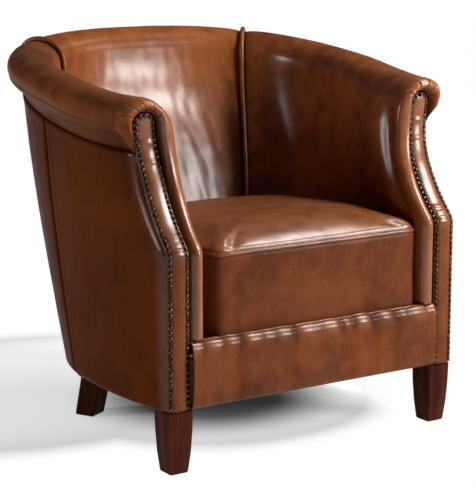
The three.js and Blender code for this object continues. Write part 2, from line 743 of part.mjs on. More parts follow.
function addCushion() {
  const pole = (sink) => new THREE.Vector3(CUSHION_MIDDLE.x, CUSHION_MIDDLE.y, SEAT_CROWN - sink);
  const cover = cushionRings(0, CUSHION_FOOT);
  const lining = cushionRings(LEATHER, CUSHION_FOOT);
  add("seat_cushion_cover", openCover(cover, pole(0), lining, pole(LEATHER)), MATERIAL.hide);
  const coreSink = LEATHER + 0.8;
  const floor = new THREE.Vector3(CUSHION_MIDDLE.x, CUSHION_MIDDLE.y, CUSHION_FOOT + 2);
  const core = ringsToPole(cushionRings(coreSink, CUSHION_FOOT + 2), pole(coreSink), floor);
  add("seat_cushion_core", meshOf(core.points, core.triangles), MATERIAL.foam);
  const base = cushionLoop(CUSHION_FOOT, CUSHION_ROOM + coreSink).map(({ x, y }) => new THREE.Vector2(x, y));
  add("seat_cushion_base", plate(base, CUSHION_FOOT, 1.2), MATERIAL.cloth);
  const welt = cushionLoop(SEAT_EDGE, CUSHION_ROOM + 1.2, SEAT_EDGE + 1.5);
  add("seat_cushion_piping", closedWelt(welt, 4.2, 6), MATERIAL.piping);
}

// Frame: rails round the base, posts, slats and the rail that carries the roll

const RAIL_JOINT = 0.6; // where the side rails meet the back rail, as a share of the half path
const TOP_RAIL_JOINT = 0.56;
const POST_PLACE = 0.34; // uprights from the middle of the back, as shares of the half path
const SLAT_PLACE = 0.061;
const BLOCK_LEG = 66;

function baseRail(stations) {
  const rings = stations.map((s) => {
    const outer = planInset(PLAN.outerFoot, halfPath(s), RAIL_INSET);
    const inner = planInset(PLAN.outerFoot, halfPath(s), RAIL_INSET + RAIL_THICK);
    const at = ({ x, y }, z) => new THREE.Vector3((s < 0 ? -1 : 1) * x, y, z);
    return [at(outer, RAIL_TOP), at(inner, RAIL_TOP), at(inner, RAIL_BOTTOM), at(outer, RAIL_BOTTOM)];
  });
  return loft(rings);
}

function topRail(stations) {
  const { inner, outer, top, bottom } = TOP_RAIL;
  const rings = stations.map((s) => [
    rollPoint(s, [outer, top]),
    rollPoint(s, [inner, top]),
    rollPoint(s, [inner, bottom]),
    rollPoint(s, [outer, bottom]),
  ]);
  return loft(rings);
}

const HEAD_ROOM = 5; // between an upright's head and the rail's sloping underside
const HEAD_INSET = 18.5;

// An upright from the base rail to the top rail, leaning back with the wall.
function backUpright(s, halfWidth, halfDepth) {
  const u = halfPath(s);
  const side = s < 0 ? -1 : 1;
  const ring = (plan, inset, z) => {
    const { x, y } = planInset(plan, u, inset);
    const normal = planNormal(plan, u);
    const turn = Math.atan2(normal.y, side * normal.x) - HALF_TURN / 2;
    return rectangle(side * x, y, z, halfWidth, halfDepth, turn);
  };
  const middle = RAIL_INSET + RAIL_THICK / 2;
  const head = crestHeight(s) + TOP_RAIL.bottom - HEAD_ROOM;
  return loft([ring(PLAN.outerFoot, middle, RAIL_TOP + GAP), ring(PLAN.outerTop, HEAD_INSET, head)]);
}

const FRONT_BOLT = new THREE.Vector2(306, 30);
const REAR_BOLT = new THREE.Vector2(252, 400);
const rod = ({ x, y }, side, radius, bottom, top) =>
  new THREE.CylinderGeometry(radius, radius, top - bottom, 8)
    .rotateX(HALF_TURN / 2)
    .translate(side * x, y, (bottom + top) / 2);
const boltHole = (place, side) => rod(place, side, BOLT_RADIUS + 0.4, BOLT_BOTTOM - 1, BOLT_TOP + 1);

function addFrontPost(name, side) {
  const heights = [RAIL_BOTTOM, ...spaced(KNEE, ARM_TOP + TOP_RAIL.bottom - GAP, 4)];
  const edge = (depth) => heights.map((z) => new THREE.Vector2(frontSweep(z) + depth, z));
  const outline = [...edge(POST_FRONT), ...edge(POST_BACK).reverse()].reverse();
  const [from, to] = side > 0 ? [POST_INNER, POST_OUTER] : [-POST_OUTER, -POST_INNER];
  const post = profileAcross(outline, from, to);
  add(`front_post_${name}`, cut(post, [boltHole(FRONT_BOLT, side)]), MATERIAL.beech);
}

function addFrame() {
  const frontRail = new THREE.BoxGeometry(2 * (POST_INNER - GAP), RAIL_THICK, RAIL_TOP - RAIL_BOTTOM);
  frontRail.translate(0, FRONT_RAIL_DEPTH + RAIL_THICK / 2, (RAIL_TOP + RAIL_BOTTOM) / 2);
  add("front_rail", frontRail, MATERIAL.beech);
  const railStart = (ARM_SHARE * (POST_BACK + GAP)) / PLAN.outerFoot.turn;
  const rearRail = backStations(RAIL_JOINT + SEAM_GAP, 12);
  add("back_rail", baseRail(rearRail), MATERIAL.beech);
  add("back_top_rail", topRail(backStations(TOP_RAIL_JOINT + SEAM_GAP, 10)), MATERIAL.beech);
  for (const [name, side] of Object.entries(SIDES)) {
    addFrontPost(name, side);
    const sideRail = sideStations(side, spaced(railStart, RAIL_JOINT - SEAM_GAP, 8));
    add(`side_rail_${name}`, baseRail(sideRail), MATERIAL.beech);
    const armRail = sideStations(side, spaced(0, TOP_RAIL_JOINT - SEAM_GAP, 9));
    add(`arm_rail_${name}`, topRail(armRail), MATERIAL.beech);
    add(`back_post_${name}`, backUpright(side * POST_PLACE, 20, 10), MATERIAL.beech);
    add(`back_slat_${name}`, backUpright(side * SLAT_PLACE, 13, 10), MATERIAL.beech);
    addBlocks(name, side);
  }
}

// Corner blocks: a triangle glued behind the front rail, and a curved one that takes the rear leg's bolt.
function addBlocks(name, side) {
  const corner = POST_INNER - GAP;
  const behindRail = FRONT_RAIL_DEPTH + RAIL_THICK + GAP;
  const frontBlock = [
    [corner, behindRail],
    [corner, behindRail + BLOCK_LEG],
    [corner - BLOCK_LEG, behindRail],
  ].map(([x, y]) => new THREE.Vector2(side * x, y));
  add(`front_block_${name}`, plate(frontBlock, 160, 40), MATERIAL.beech);
  const rearShares = spaced(0.53, 0.66, 4);
  const inset = RAIL_INSET + RAIL_THICK + 1.5;
  const rearBlock = [
    ...rearShares.map((u) => planInset(PLAN.outerFoot, u, inset)),
    ...rearShares.toReversed().map((u) => planInset(PLAN.outerFoot, u, inset + 60)),
  ].map(({ x, y }) => new THREE.Vector2(side * x, y));
  const block = plate(rearBlock, RAIL_BOTTOM, 45);
  add(`rear_block_${name}`, cut(block, [boltHole(REAR_BOLT, side)]), MATERIAL.beech);
}

// Webbing: straps from front to back, and straps across that pass over and under them

const STRAPS = [-170, -85, 0, 85, 170];
const CROSS_STRAPS = [115, 215, 315];
const WEB_Z = RAIL_TOP + 0.4;

// Half width or depth of the base rails' line at an inset, found along the plan curve.
function railAt(axis, value, inset) {
  const other = axis === "x" ? "y" : "x";
  let low = axis === "x" ? ARM_SHARE : 0;
  let high = 1;
  for (let k = 0; k < 40; k++) {
    const middle = (low + high) / 2;
    const reached = planInset(PLAN.outerFoot, middle, inset)[axis];
    const isShort = axis === "x" ? reached > value : reached < value;
    if (isShort) low = middle;
    else high = middle;
  }
  return planInset(PLAN.outerFoot, low, inset)[other];
}

function addWebbing() {
  STRAPS.forEach((x, i) => {
    const from = 16;
    const to = railAt("x", Math.abs(x) + WEB_WIDTH / 2, RAIL_INSET + 10);
    const strap = new THREE.BoxGeometry(WEB_WIDTH, to - from, WEB_THICK);
    strap.translate(x, (from + to) / 2, WEB_Z + WEB_THICK / 2);
    add(`seat_web_${i + 1}`, strap, MATERIAL.webbing);
  });
  CROSS_STRAPS.forEach((y, row) => {
    const nearest = y > PLAN.outerFoot.turn ? y + WEB_WIDTH / 2 : y - WEB_WIDTH / 2;
    const reach = railAt("y", nearest, RAIL_INSET + 6);
    const over = STRAPS.map((_, i) => ((i + row) % 2 === 0 ? 1 : -1) * (WEB_THICK + 0.5));
    const centre = [[-reach, 0], [-STRAPS.at(-1) - 45, 0]];
    STRAPS.forEach((x, i) => centre.push([x - 28, over[i]], [x + 28, over[i]]));
    centre.push([STRAPS.at(-1) + 45, 0], [reach, 0]);
    const lower = centre.map(([x, lift]) => new THREE.Vector2(x, WEB_Z + lift));
    const upper = centre.map(([x, lift]) => new THREE.Vector2(x, WEB_Z + WEB_THICK + lift)).reverse();
    const shape = new THREE.Shape([...lower, ...upper]);
    const strap = new THREE.ExtrudeGeometry(shape, { depth: WEB_WIDTH, bevelEnabled: false });
    strap.rotateX(HALF_TURN / 2).translate(0, y + WEB_WIDTH / 2, 0);
    add(`cross_web_${row + 1}`, strap, MATERIAL.webbing);
  });
  const deck = cushionLoop(DECK_HEIGHT, 6).map(({ x, y }) => new THREE.Vector2(x, y));
  add("seat_deck_pad", plate(deck, 219, 16), MATERIAL.foam);
}

// Dust cloth under the frame, legs and the bolts that hold them

const LEG_TOP = LEG_HEIGHT - 0.4;
const FRONT_LEG = new THREE.Vector2(303.5, 27);
const REAR_TURN = degToRad(28);
const REAR_SPLAY = new THREE.Vector2(2, 40); // foot of a rear leg outward and back from its head

function frontLeg(side) {
  const levels = [
    [0, 17.5],
    [3, 19.5],
    [40, 23.4],
    [80, 25.6],
    [LEG_TOP, 26.5],
  ];
  return levels.map(([z, half]) => rectangle(side * FRONT_LEG.x, FRONT_LEG.y, z, half, half - 0.5));
}

// The rear legs are turned with the corner and splayed outward and back.
function rearLeg(side) {
  const levels = [
    [0, 19.5],
    [3, 21.5],
    [LEG_TOP, 23.5],
  ];
  return levels.map(([z, half]) => {
    const centre = REAR_BOLT.clone().addScaledVector(REAR_SPLAY, 1 - z / LEG_TOP);
    return rectangle(side * centre.x, centre.y, z, half, half, -side * REAR_TURN);
  });
}

function addLegs() {
  for (const [name, side] of Object.entries(SIDES)) {
    const legs = {
      front: [frontLeg(side), FRONT_BOLT],
      rear: [rearLeg(side), REAR_BOLT],
    };
    for (const [end, [rings, bolt]] of Object.entries(legs)) {
      add(`leg_${end}_${name}`, cut(loft(rings), [boltHole(bolt, side)]), MATERIAL.leg);
      add(`leg_bolt_${end}_${name}`, rod(bolt, side, BOLT_RADIUS, BOLT_BOTTOM, BOLT_TOP), MATERIAL.steel);
    }
  }
}

function addDustCover() {
  const side = spaced(0.14, 1, 14).map((u) => planInset(PLAN.outerFoot, u, 28));
  const half = [new THREE.Vector2(268, 21), ...side];
  const mirrored = half
    .slice(0, -1)
    .reverse()
    .map(({ x, y }) => new THREE.Vector2(-x, y));
  const holeAt = (side) => ({ x: side * REAR_BOLT.x, y: REAR_BOLT.y, radius: BOLT_RADIUS + 3 });
  const holes = Object.values(SIDES).map(holeAt);
  add("dust_cover", plate([...half, ...mirrored], LEG_HEIGHT + 0.4, 1, holes), MATERIAL.cloth);
}

for (const [name, side] of Object.entries(SIDES)) {
  addInsideArm(name, side);
  addBackPiping(name, side);
  addFacing(name, side);
  addNails(name, side);
}
addInsideBack();
addOutside();
addBorder();
addCushion();
addFrame();
addWebbing();
addLegs();
addDustCover();

export default chair;
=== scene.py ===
"""Looks of a worn leather club chair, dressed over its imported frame.

The tub is one family of curves: plan outlines that are swept up the inside, over the roll and under it. A place
along it is s, from -1 at the left arm front through 0 at the middle of the back to 1 at the right arm front.
Metres, +Z up, the chair faces -Y, and the origin is on the floor under its middle.
"""

import logging
import math
import random
from dataclasses import dataclass, field
from enum import Enum

import bpy
import numpy as np
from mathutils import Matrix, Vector, noise
from mathutils.bvhtree import BVHTree
from mathutils.kdtree import KDTree


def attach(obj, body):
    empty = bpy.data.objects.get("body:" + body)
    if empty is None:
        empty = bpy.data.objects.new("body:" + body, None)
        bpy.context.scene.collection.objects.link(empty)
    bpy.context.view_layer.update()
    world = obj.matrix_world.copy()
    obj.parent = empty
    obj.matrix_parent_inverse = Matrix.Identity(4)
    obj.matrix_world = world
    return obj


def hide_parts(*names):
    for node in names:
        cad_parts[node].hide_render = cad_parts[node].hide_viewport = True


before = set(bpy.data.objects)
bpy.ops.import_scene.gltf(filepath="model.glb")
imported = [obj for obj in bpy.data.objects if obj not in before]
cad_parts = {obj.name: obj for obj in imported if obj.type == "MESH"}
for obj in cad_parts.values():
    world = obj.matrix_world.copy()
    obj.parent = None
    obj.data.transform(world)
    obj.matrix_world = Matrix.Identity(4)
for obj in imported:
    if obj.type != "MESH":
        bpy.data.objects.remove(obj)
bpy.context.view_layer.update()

LOG = logging.getLogger("club_chair")
BODY = "root"
HIDE_THICKNESS = 0.002
HALF_TURN = math.pi
PLEATS = (0.17, 0.335, 0.50, 0.655, 0.82)

Array = np.ndarray
Colour = tuple[float, float, float]
Marks = dict["Mark", Array | float]
Object = bpy.types.Object
Material = bpy.types.Material
Node = bpy.types.Node
Socket = bpy.types.NodeSocket


class Side(Enum):
    """The two sides of the chair, with the sign of their X."""

    LEFT = -1
    RIGHT = 1

    @property
    def word(self) -> str:
        """The side's name as the nodes spell it."""
        return self.name.lower()


class Mark(str, Enum):
    """Masks painted on the vertices of a piece, which its finish reads."""

    # Real rubbing, which also carries painted light on the upper inside arms and upper back, and painted shade on the
    # lower facings.
    WEAR = "wear"
    # Painted shade: darkens creases, recesses, seams, the hide under the rolls and the back's lower corners.
    CREASE = "crease"
    POLISH = "polish"


# Small mathematics


def lerp(a: Array | float, b: Array | float, share: Array | float) -> Array | float:
    """A value part of the way from a to b."""
    return a + (b - a) * share


def smoothstep(x: Array | float, low: Array | float, high: Array | float) -> Array:
    """A smooth rise from 0 at low to 1 at high."""
    t = np.clip((x - low) / (high - low), 0.0, 1.0)
    return t * t * (3.0 - 2.0 * t)


def hump(x: Array, centre: float, width: float) -> Array:
    """A bell of height 1 about a centre."""
    return np.exp(-(((x - centre) / width) ** 2))


def unit(vectors: Array) -> Array:
    """Vectors scaled to length 1."""
    return vectors / np.maximum(np.linalg.norm(vectors, axis=-1, keepdims=True), 1e-12)


def grid_normals(grid: Array) -> Array:
    """Outward normals of a grid whose rows and columns run as grid_object expects.

    Args:
        grid: Points in rows and columns.

    Returns:
        One unit vector for each point.
    """
    along = np.gradient(grid, axis=0)
    up = np.gradient(grid, axis=1)
    return unit(np.cross(along, up))


def noise_at(points: Array, scale: float | Colour, seed: float) -> Array:
    """Smooth noise from -1 to 1 at each point.

    Args:
        points: Points in any grid, with coordinates last.
        scale: Features for each metre, one number or one for each axis.
        seed: Shifts the noise so that two fields differ.

    Returns:
        The noise, in the points' own grid.
    """
    flat = (points * np.asarray(scale)).reshape(-1, 3) + seed
    values = [noise.noise(Vector(p)) for p in flat]
    return np.array(values).reshape(points.shape[:-1])


def resample(points: Array, count: int) -> Array:
    """Points spaced evenly along a polyline.

    Args:
        points: The polyline.
        count: How many points to give.

    Returns:
        The new points, ends included.
    """
    reach = np.concatenate([[0.0], np.cumsum(np.linalg.norm(np.diff(points, axis=0), axis=1))])
    wanted = np.linspace(0.0, reach[-1], count)
    return np.stack([np.interp(wanted, reach, points[:, k]) for k in range(points.shape[1])], -1)


# Meshes


def paint(mesh: bpy.types.Mesh, marks: Marks, shape: tuple[int, ...]) -> None:
    """Stores masks on a mesh's vertices.

    Args:
        mesh: The mesh.
        marks: Values for the vertices, or for whole rows or columns of them.
        shape: Rows and columns of the vertices, or their number.
    """
    for mark, values in marks.items():
        layer = mesh.attributes.new(mark.value, "FLOAT", "POINT")
        each = np.broadcast_to(np.clip(values, 0.0, 1.0), shape)
        layer.data.foreach_set("value", each.astype(np.float32).ravel())


def mesh_object(name: str, points: Array, faces: list, marks: Marks | None = None) -> Object:
    """Makes a smooth-shaded object from points and faces.

    Args:
        name: The piece's name.
        points: Its vertices.
        faces: Lists of vertex numbers.
        marks: Masks for the vertices, by name.

    Returns:
        The new object, in the scene.
    """
    mesh = bpy.data.meshes.new(name)
    mesh.from_pydata(points.reshape(-1, 3).tolist(), [], faces)
    mesh.polygons.foreach_set("use_smooth", np.ones(len(mesh.polygons), bool))
    paint(mesh, marks or {}, points.shape[:-1])
    mesh.update()
    piece = bpy.data.objects.new(name, mesh)
    bpy.context.scene.collection.objects.link(piece)
    return piece


def grid_quads(rows: int, columns: int) -> list:
    """Quads between the points of a grid, facing along rows x columns."""
    index = np.arange(rows * columns).reshape(rows, columns)
    corners = [index[:-1, :-1], index[1:, :-1], index[1:, 1:], index[:-1, 1:]]
    return np.stack(corners, -1).reshape(-1, 4).tolist()


def grid_object(name: str, grid: Array, marks: Marks | None = None, thickness: float = HIDE_THICKNESS) -> Object:
    """Makes a sheet of hide from a grid of points on its outer face.

    Args:
        name: The piece's name.
        grid: Points whose rows x columns direction is outward.
        marks: Masks for the vertices.
        thickness: How far the sheet goes in from its outer face.

    Returns:
        The new object.
    """
    piece = mesh_object(name, grid, grid_quads(*grid.shape[:2]), marks)
    solid = piece.modifiers.new("thickness", "SOLIDIFY")
    solid.thickness = thickness
    solid.offset = -1.0
    return piece


def tube_object(name: str, path: Array, radius: Array | float, sides: int = 16, closed: bool = False) -> Object:
    """Makes a round cord along a path.

    Args:
        name: The piece's name.
        path: Points along its middle.
        radius: One radius, or one for each point.
        sides: Corners of its section.
        closed: Whether the path is a level loop.

    Returns:
        The new object, capped at its ends where it is open.
    """
    count = len(path)
    if closed:
        ahead = unit(np.roll(path, -1, axis=0) - np.roll(path, 1, axis=0))
        across = unit(np.cross(ahead, np.array([0.0, 0.0, 1.0])))
    else:
        ahead = unit(np.gradient(path, axis=0))
        across = np.zeros_like(path)
        across[0] = unit(np.cross(ahead[0], np.array([0.31, 0.87, 0.38])))
        for k in range(1, count):
            turned = across[k - 1] - ahead[k] * np.dot(across[k - 1], ahead[k])
            across[k] = unit(turned)
    above = np.cross(across, ahead)
    turn = np.linspace(0.0, 2.0 * HALF_TURN, sides, endpoint=False)[None, :, None]
    reach = np.broadcast_to(np.asarray(radius, float), (count,))[:, None, None]
    rings = path[:, None] + reach * (np.cos(turn) * across[:, None] + np.sin(turn) * above[:, None])
    faces = []
    for i in range(count if closed else count - 1):
        for k in range(sides):
            a, b = i * sides + k, i * sides + (k + 1) % sides
            c, d = (i + 1) % count * sides + (k + 1) % sides, (i + 1) % count * sides + k
            faces.append([a, b, c, d])
    if not closed:
        faces.append(list(range(sides))[::-1])
        faces.append([(count - 1) * sides + k for k in range(sides)])
    return mesh_object(name, rings, faces, {Mark.POLISH: 0.6})


def loft_object(name: str, rings: Array) -> Object:
    """Makes a capped solid through rings of points, given from the foot up and counter-clockwise from above."""
    count, sides = rings.shape[:2]
    faces = []
    for i in range(count - 1):
        for k in range(sides):
            a, b = i * sides + k, i * sides + (k + 1) % sides
            faces.append([a, b, b + sides, a + sides])
    faces.append(list(range(sides))[::-1])
    faces.append([(count - 1) * sides + k for k in range(sides)])
    return mesh_object(name, rings, faces)


def applied(piece: Object) -> Array:
    """Replaces a piece's mesh by its mesh after modifiers, and returns the new vertices."""
    evaluated = piece.evaluated_get(bpy.context.evaluated_depsgraph_get())
    mesh = bpy.data.meshes.new_from_object(evaluated)
    piece.modifiers.clear()
    piece.data = mesh
    return vertices_of(piece)


def vertices_of(piece: Object) -> Array:
    """A piece's vertices as rows of numbers."""
    flat = np.zeros(len(piece.data.vertices) * 3)
    piece.data.vertices.foreach_get("co", flat)
    return flat.reshape(-1, 3)


def settle(piece: Object, material: Material, slot: str, *nodes: str) -> Object:
    """Dresses a finished piece and ties it to the frame.

    Args:
        piece: The piece.
        material: Its finish.
        slot: The record's material slot that it takes its finish from; not used.
        nodes: CAD nodes that it stands for.

    Returns:
        The piece.
    """
    piece.data.materials.clear()
    piece.data.materials.append(material)
    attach(piece, BODY)
    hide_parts(*nodes)
    LOG.info("%s: %d faces, stands for %s", piece.name, len(piece.data.polygons), ", ".join(nodes) or "nothing")
    return piece


# The tub's shape


@dataclass(frozen=True)
class PlanCurve:
    """Half of a plan outline of the tub: an arm that swells to its greatest width, and a rounded back."""

    front: float
    half: float
    turn: float
    back: float
    power: float
    swell: float = 1.0
    arm_share: float = 0.35

    def point(self, u: Array) -> Array:
        """The outline at u, from 0 at the arm front to 1 at the middle of the back."""
        t = np.clip(u / self.arm_share, 0.0, 1.0)
        arm_x = self.front + (self.half - self.front) * np.sin(t**self.swell * HALF_TURN / 2)
        angle = np.clip((u - self.arm_share) / (1 - self.arm_share), 0.0, 1.0) * HALF_TURN / 2
        across = (np.abs(np.cos(angle)) / self.half) ** self.power
        behind = (np.sin(angle) / (self.back - self.turn)) ** self.power
        reach = (across + behind) ** (-1 / self.power)
        is_arm = u < self.arm_share
        x = np.where(is_arm, arm_x, reach * np.cos(angle))
        y = np.where(is_arm, self.turn * t, self.turn + reach * np.sin(angle))
        return np.stack([x, y], -1)

    def normal(self, u: Array) -> Array:
        """The outline's outward direction at u."""
        step = 1e-3
        ahead = self.point(np.minimum(1.0, u + step)) - self.point(np.maximum(0.0, u - step))
        return unit(np.stack([ahead[..., 1], -ahead[..., 0]], -1))

    def offset(self, u: Array, outward: Array | float) -> Array:
        """The outline at u, moved outward."""
        return self.point(u) + self.normal(u) * np.asarray(outward)[..., None]


@dataclass(frozen=True)
class Section:
    """Where a cover's columns lie: shares of the inside face, of the roll and of the stretch under it."""

    inside: Array
    roll: Array
    under: Array

    @classmethod
    def spaced(cls, inside: int, roll: int, under: int) -> "Section":
        """Evenly spaced columns, with the given number of steps in each stretch."""
        return cls(
            np.linspace(0.0, 1.0, inside + 1),
            np.linspace(0.0, 1.0, roll + 1)[1:],
            np.linspace(0.0, 1.0, under + 1)[1:],
        )

    @classmethod
    def pleated(cls, inside: int, roll: int, under: int) -> "Section":
        """Evenly spaced columns, with more of them beside each pleat."""
        even = cls.spaced(inside, roll, under)
        beside = np.array([-0.016, -0.010, -0.006, -0.003, 0.0, 0.003, 0.006, 0.010, 0.016])
        close = np.concatenate([even.roll, *(pleat + beside for pleat in PLEATS)])
        return cls(even.inside, np.unique(close.round(4)), even.under)

    @property
    def on_roll(self) -> Array:
        """The share of the roll for every column, below 0 on the inside face and above 1 under the roll."""
        return np.concatenate([self.inside - 1.0, self.roll, 1.0 + self.under])


@dataclass(frozen=True)
class TubShape:
    """The sizes of the tub, and the surface that they give."""

    middle_depth: float = 0.3577
    leg_height: float = 0.120
    deck: float = 0.222
    border_top: float = 0.249
    arm_top: float = 0.686
    back_top: float = 0.764
    outer_top: PlanCurve = PlanCurve(0.335, 0.365, 0.330, 0.700, 2.8)
    outer_foot: PlanCurve = PlanCurve(0.331, 0.357, 0.240, 0.545, 2.4)
    inner_deck: PlanCurve = PlanCurve(0.251, 0.272, 0.250, 0.440, 2.5, 0.6)
    arm_share: float = 0.35
    back_seam: float = 0.714
    seam_lean: float = 0.04
    outer_seam: float = 0.43
    crest_inset: float = 0.008
    inside_width: float = 0.057
    inside_height: float = 0.050
    outside_front_width: float = 0.047
    outside_back_width: float = 0.039
    outside_height: float = 0.034
    roll_end: float = math.radians(-26)
    drop_front: float = 0.100
    drop_back: float = 0.084
    seam_tuck: float = -0.0015
    knee: float = 0.416
    knee_round: float = 0.010
    sweep_top: float = 0.615
    sweep_depth: float = 0.098
    rim_depth: float = 0.024
    rim_proud: tuple[float, float] = (0.008, 0.019)
    rim_head: float = 0.012
    rim_swell: tuple[float, float] = (0.001, 0.016)
    rim_turn: float = math.radians(146)
    rim_margin: float = 0.0025
    rim_close: float = 0.003
    under_swell: float = 0.0036
    facing_half: float = 0.0225
    facing_x: float = 0.308
    facing_lean: float = 0.013
    facing_top: float = 0.657

    @property
    def arch_centre(self) -> float:
        """Height of the centre of the facing's round head."""
        return self.facing_top - self.facing_half

    def sweep(self, z: Array) -> Array:
        """How far back the arm front lies at a height: upright to the knee, then along a parabola."""
        start, end = self.knee - self.knee_round, self.knee + self.knee_round
        swept = 1 - ((np.maximum(z, end) - self.sweep_top) / (self.sweep_top - self.knee)) ** 2
        bend = np.clip((z - start) / (end - start), 0.0, 1.0) ** 2
        return self.sweep_depth * swept * bend

    def crest(self, s: Array) -> Array:
        """Height of the roll's crest."""
        return lerp(self.arm_top, self.back_top, smoothstep(1 - np.abs(s), 0.0, 0.95))

    def drop(self, s: Array) -> Array:
        """How far the seam under the roll lies below the crest."""
        return lerp(self.drop_front, self.drop_back, smoothstep(1 - np.abs(s), 0.35, 0.65))

    def foot(self, s: Array) -> Array:
        """Height of the inside covers' lower edge."""
        return lerp(self.border_top + 0.002, self.deck, smoothstep(1 - np.abs(s), 0.0, 0.06))

    def place(self, s: Array, xy: Array, z: Array, setback: float) -> Array:
        """Puts plan points at a height on their own side, moved back with the swept arm front."""
        front = np.maximum(0.0, 1 - (1 - np.abs(s)) / self.arm_share)
        x = np.sign(s) * xy[..., 0]
        y = xy[..., 1] + front * (self.sweep(z) + setback) - self.middle_depth
        return np.stack(np.broadcast_arrays(x, y, z), -1)

    def roll_point(self, s: Array, outward: Array, up: Array) -> Array:
        """A point of the roll's section, outward from the outer wall and up from the crest."""
        xy = self.outer_top.offset(1 - np.abs(s), outward)
        return self.place(s, xy, self.crest(s) + up, self.rim_depth)

    def roll_round(self, s: Array, angle: Array) -> tuple[Array, Array]:
        """The roll's round at an angle, a half turn where it leaves the inside and a quarter at the crest."""
        is_inside = angle > HALF_TURN / 2
        toward_back = smoothstep(1 - np.abs(s), 0.1, 0.6)
        outer_width = lerp(self.outside_front_width, self.outside_back_width, toward_back)
        width = np.where(is_inside, self.inside_width, outer_width)
        height = np.where(is_inside, self.inside_height, self.outside_height)
        return width * np.cos(angle) - self.crest_inset, height * (np.sin(angle) - 1)

    def inside_point(self, s: Array, z: Array) -> Array:
        """The inside face, which leans out to the roll."""
        u = 1 - np.abs(s)
        lean_start = lerp(self.knee + 0.054, self.deck, smoothstep(u, 0.2, 0.6))
        rise = smoothstep(z, lean_start, self.crest(s) - self.inside_height)
        drift = self.seam_lean * np.sin(HALF_TURN * u) * (1 - rise)
        low = self.inner_deck.point(u + drift)
        high = self.outer_top.offset(u, -(self.crest_inset + self.inside_width))
        return self.place(s, lerp(low, high, rise[..., None]), z, self.rim_depth)

    def face_height(self, share: Array, foot: Array, top: Array) -> Array:
        """Heights up the inside face, with a fixed share of the steps below the knee."""
        below_knee = 0.375
        low = lerp(foot, self.knee, share / below_knee)
        high = lerp(self.knee, top, (share - below_knee) / (1 - below_knee))
        return np.where(share < below_knee, low, high)

    def cover(self, places: Array, section: Section) -> Array:
        """The inside cover: up the inside, over the roll and under it to the seam.

        Args:
            places: Values of s, one for each row.
            section: Where the columns lie.

        Returns:
            A grid of points.
        """
        s = places[:, None]
        z = self.face_height(section.inside[None, :], self.foot(s), self.crest(s) - self.inside_height)
        face = self.inside_point(s, z)
        angle = lerp(HALF_TURN, self.roll_end, section.roll)[None, :]
        roll = self.roll_point(s, *self.roll_round(s, angle))
        last_out, last_up = self.roll_round(s, np.full_like(s, self.roll_end))
        drawn_in = np.sin(2 * HALF_TURN * section.under**0.75)[None, :]
        out = lerp(last_out, self.seam_tuck, section.under[None, :]) + self.under_swell * drawn_in
        up = lerp(last_up, -self.drop(s), section.under[None, :])
        grid = np.concatenate([face, roll, self.roll_point(s, out, up)], axis=1)
        at_turn = hump(section.on_roll, 0.0, 0.1)[None, 1:-1, None]
        for _ in range(10):
            eased = (grid[:, :-2] + 2 * grid[:, 1:-1] + grid[:, 2:]) / 4
            grid[:, 1:-1] = lerp(grid[:, 1:-1], eased, at_turn)
        return grid

    def facing_middle(self, z: Array) -> Array:
        """Half distance between the two facings' middle lines at a height."""
        return self.facing_x + self.facing_lean * smoothstep(z, 0.520, 0.680)

    def rim_end(self, side: Side, section: Section) -> Array:
        """Where the padded rim ends beside the facing, for each column."""
        reach = self.facing_half + self.rim_margin
        foot = self.foot(np.array(float(side.value)))
        face_z = self.face_height(section.inside, foot, np.array(self.arch_centre))
        angle = HALF_TURN * (1 - section.roll)
        roll_z = self.arch_centre + reach * np.sin(angle)
        under_z = lerp(self.arch_centre, self.arm_top - self.drop_front, section.under)
        x = np.concatenate([
            self.facing_middle(face_z) - reach,
            self.facing_middle(np.array(self.arch_centre)) + reach * np.cos(angle),
            self.facing_middle(under_z) + reach - self.rim_close * section.under,
        ])
        z = np.concatenate([face_z, roll_z, under_z])
        return np.stack([side.value * x, self.sweep(z), z], -1)

    def rim(self, side: Side, turns: Array, section: Section) -> Array:
        """The padded rim, from the arm's front section round to the facing's edge.

        Args:
            side: Which arm.
            turns: Shares of the rim's round, 0 at the arm and 1 at the facing, one for each row.
            section: Where the columns lie.

        Returns:
            A grid of points.
        """
        start = self.cover(np.array([float(side.value)]), section)[0]
        end = self.rim_end(side, section)
        turn = self.rim_turn * turns[:, None]
        inward = (1 - np.cos(turn)) / (1 - math.cos(self.rim_turn))
        side_proud = lerp(*self.rim_proud, smoothstep(start[:, 2], 0.430, 0.620))
        head = smoothstep(section.on_roll, -0.125, 0.333)
        closing = smoothstep(section.on_roll, 1.05, 2.0)
        proud = lerp(lerp(side_proud, self.rim_head, head), -self.rim_close, closing)
        forward = (self.rim_depth + proud) * np.sin(turn)
        swell = lerp(*self.rim_swell, smoothstep(start[:, 2], 0.420, 0.620))
        swell = swell * (1 - smoothstep(section.on_roll, -0.125, 0.25)) * np.maximum(0.0, np.sin(2 * turn))
        x = lerp(start[:, 0], end[:, 0], inward) - side.value * swell
        z = lerp(start[:, 2], end[:, 2], inward)
        swept = lerp(self.sweep(start[:, 2]), self.sweep(end[:, 2]), inward)
        return np.stack([x, swept + self.rim_depth - forward - self.middle_depth, z], -1)

    def outside_point(self, s: Array, z: Array, setback: float) -> Array:
        """The outer wall, flaring from its foot to the seam under the roll."""
        u = 1 - np.abs(s)
        rise = (z - self.leg_height) / (self.crest(s) - self.drop(s) - self.leg_height)
        flare = 1 - (1 - np.clip(rise, 0.0, 1.0)) ** 1.35
        xy = lerp(self.outer_foot.point(u), self.outer_top.point(u), flare[..., None])
        return self.place(s, xy, z, setback)


TUB = TubShape()


# Finishes


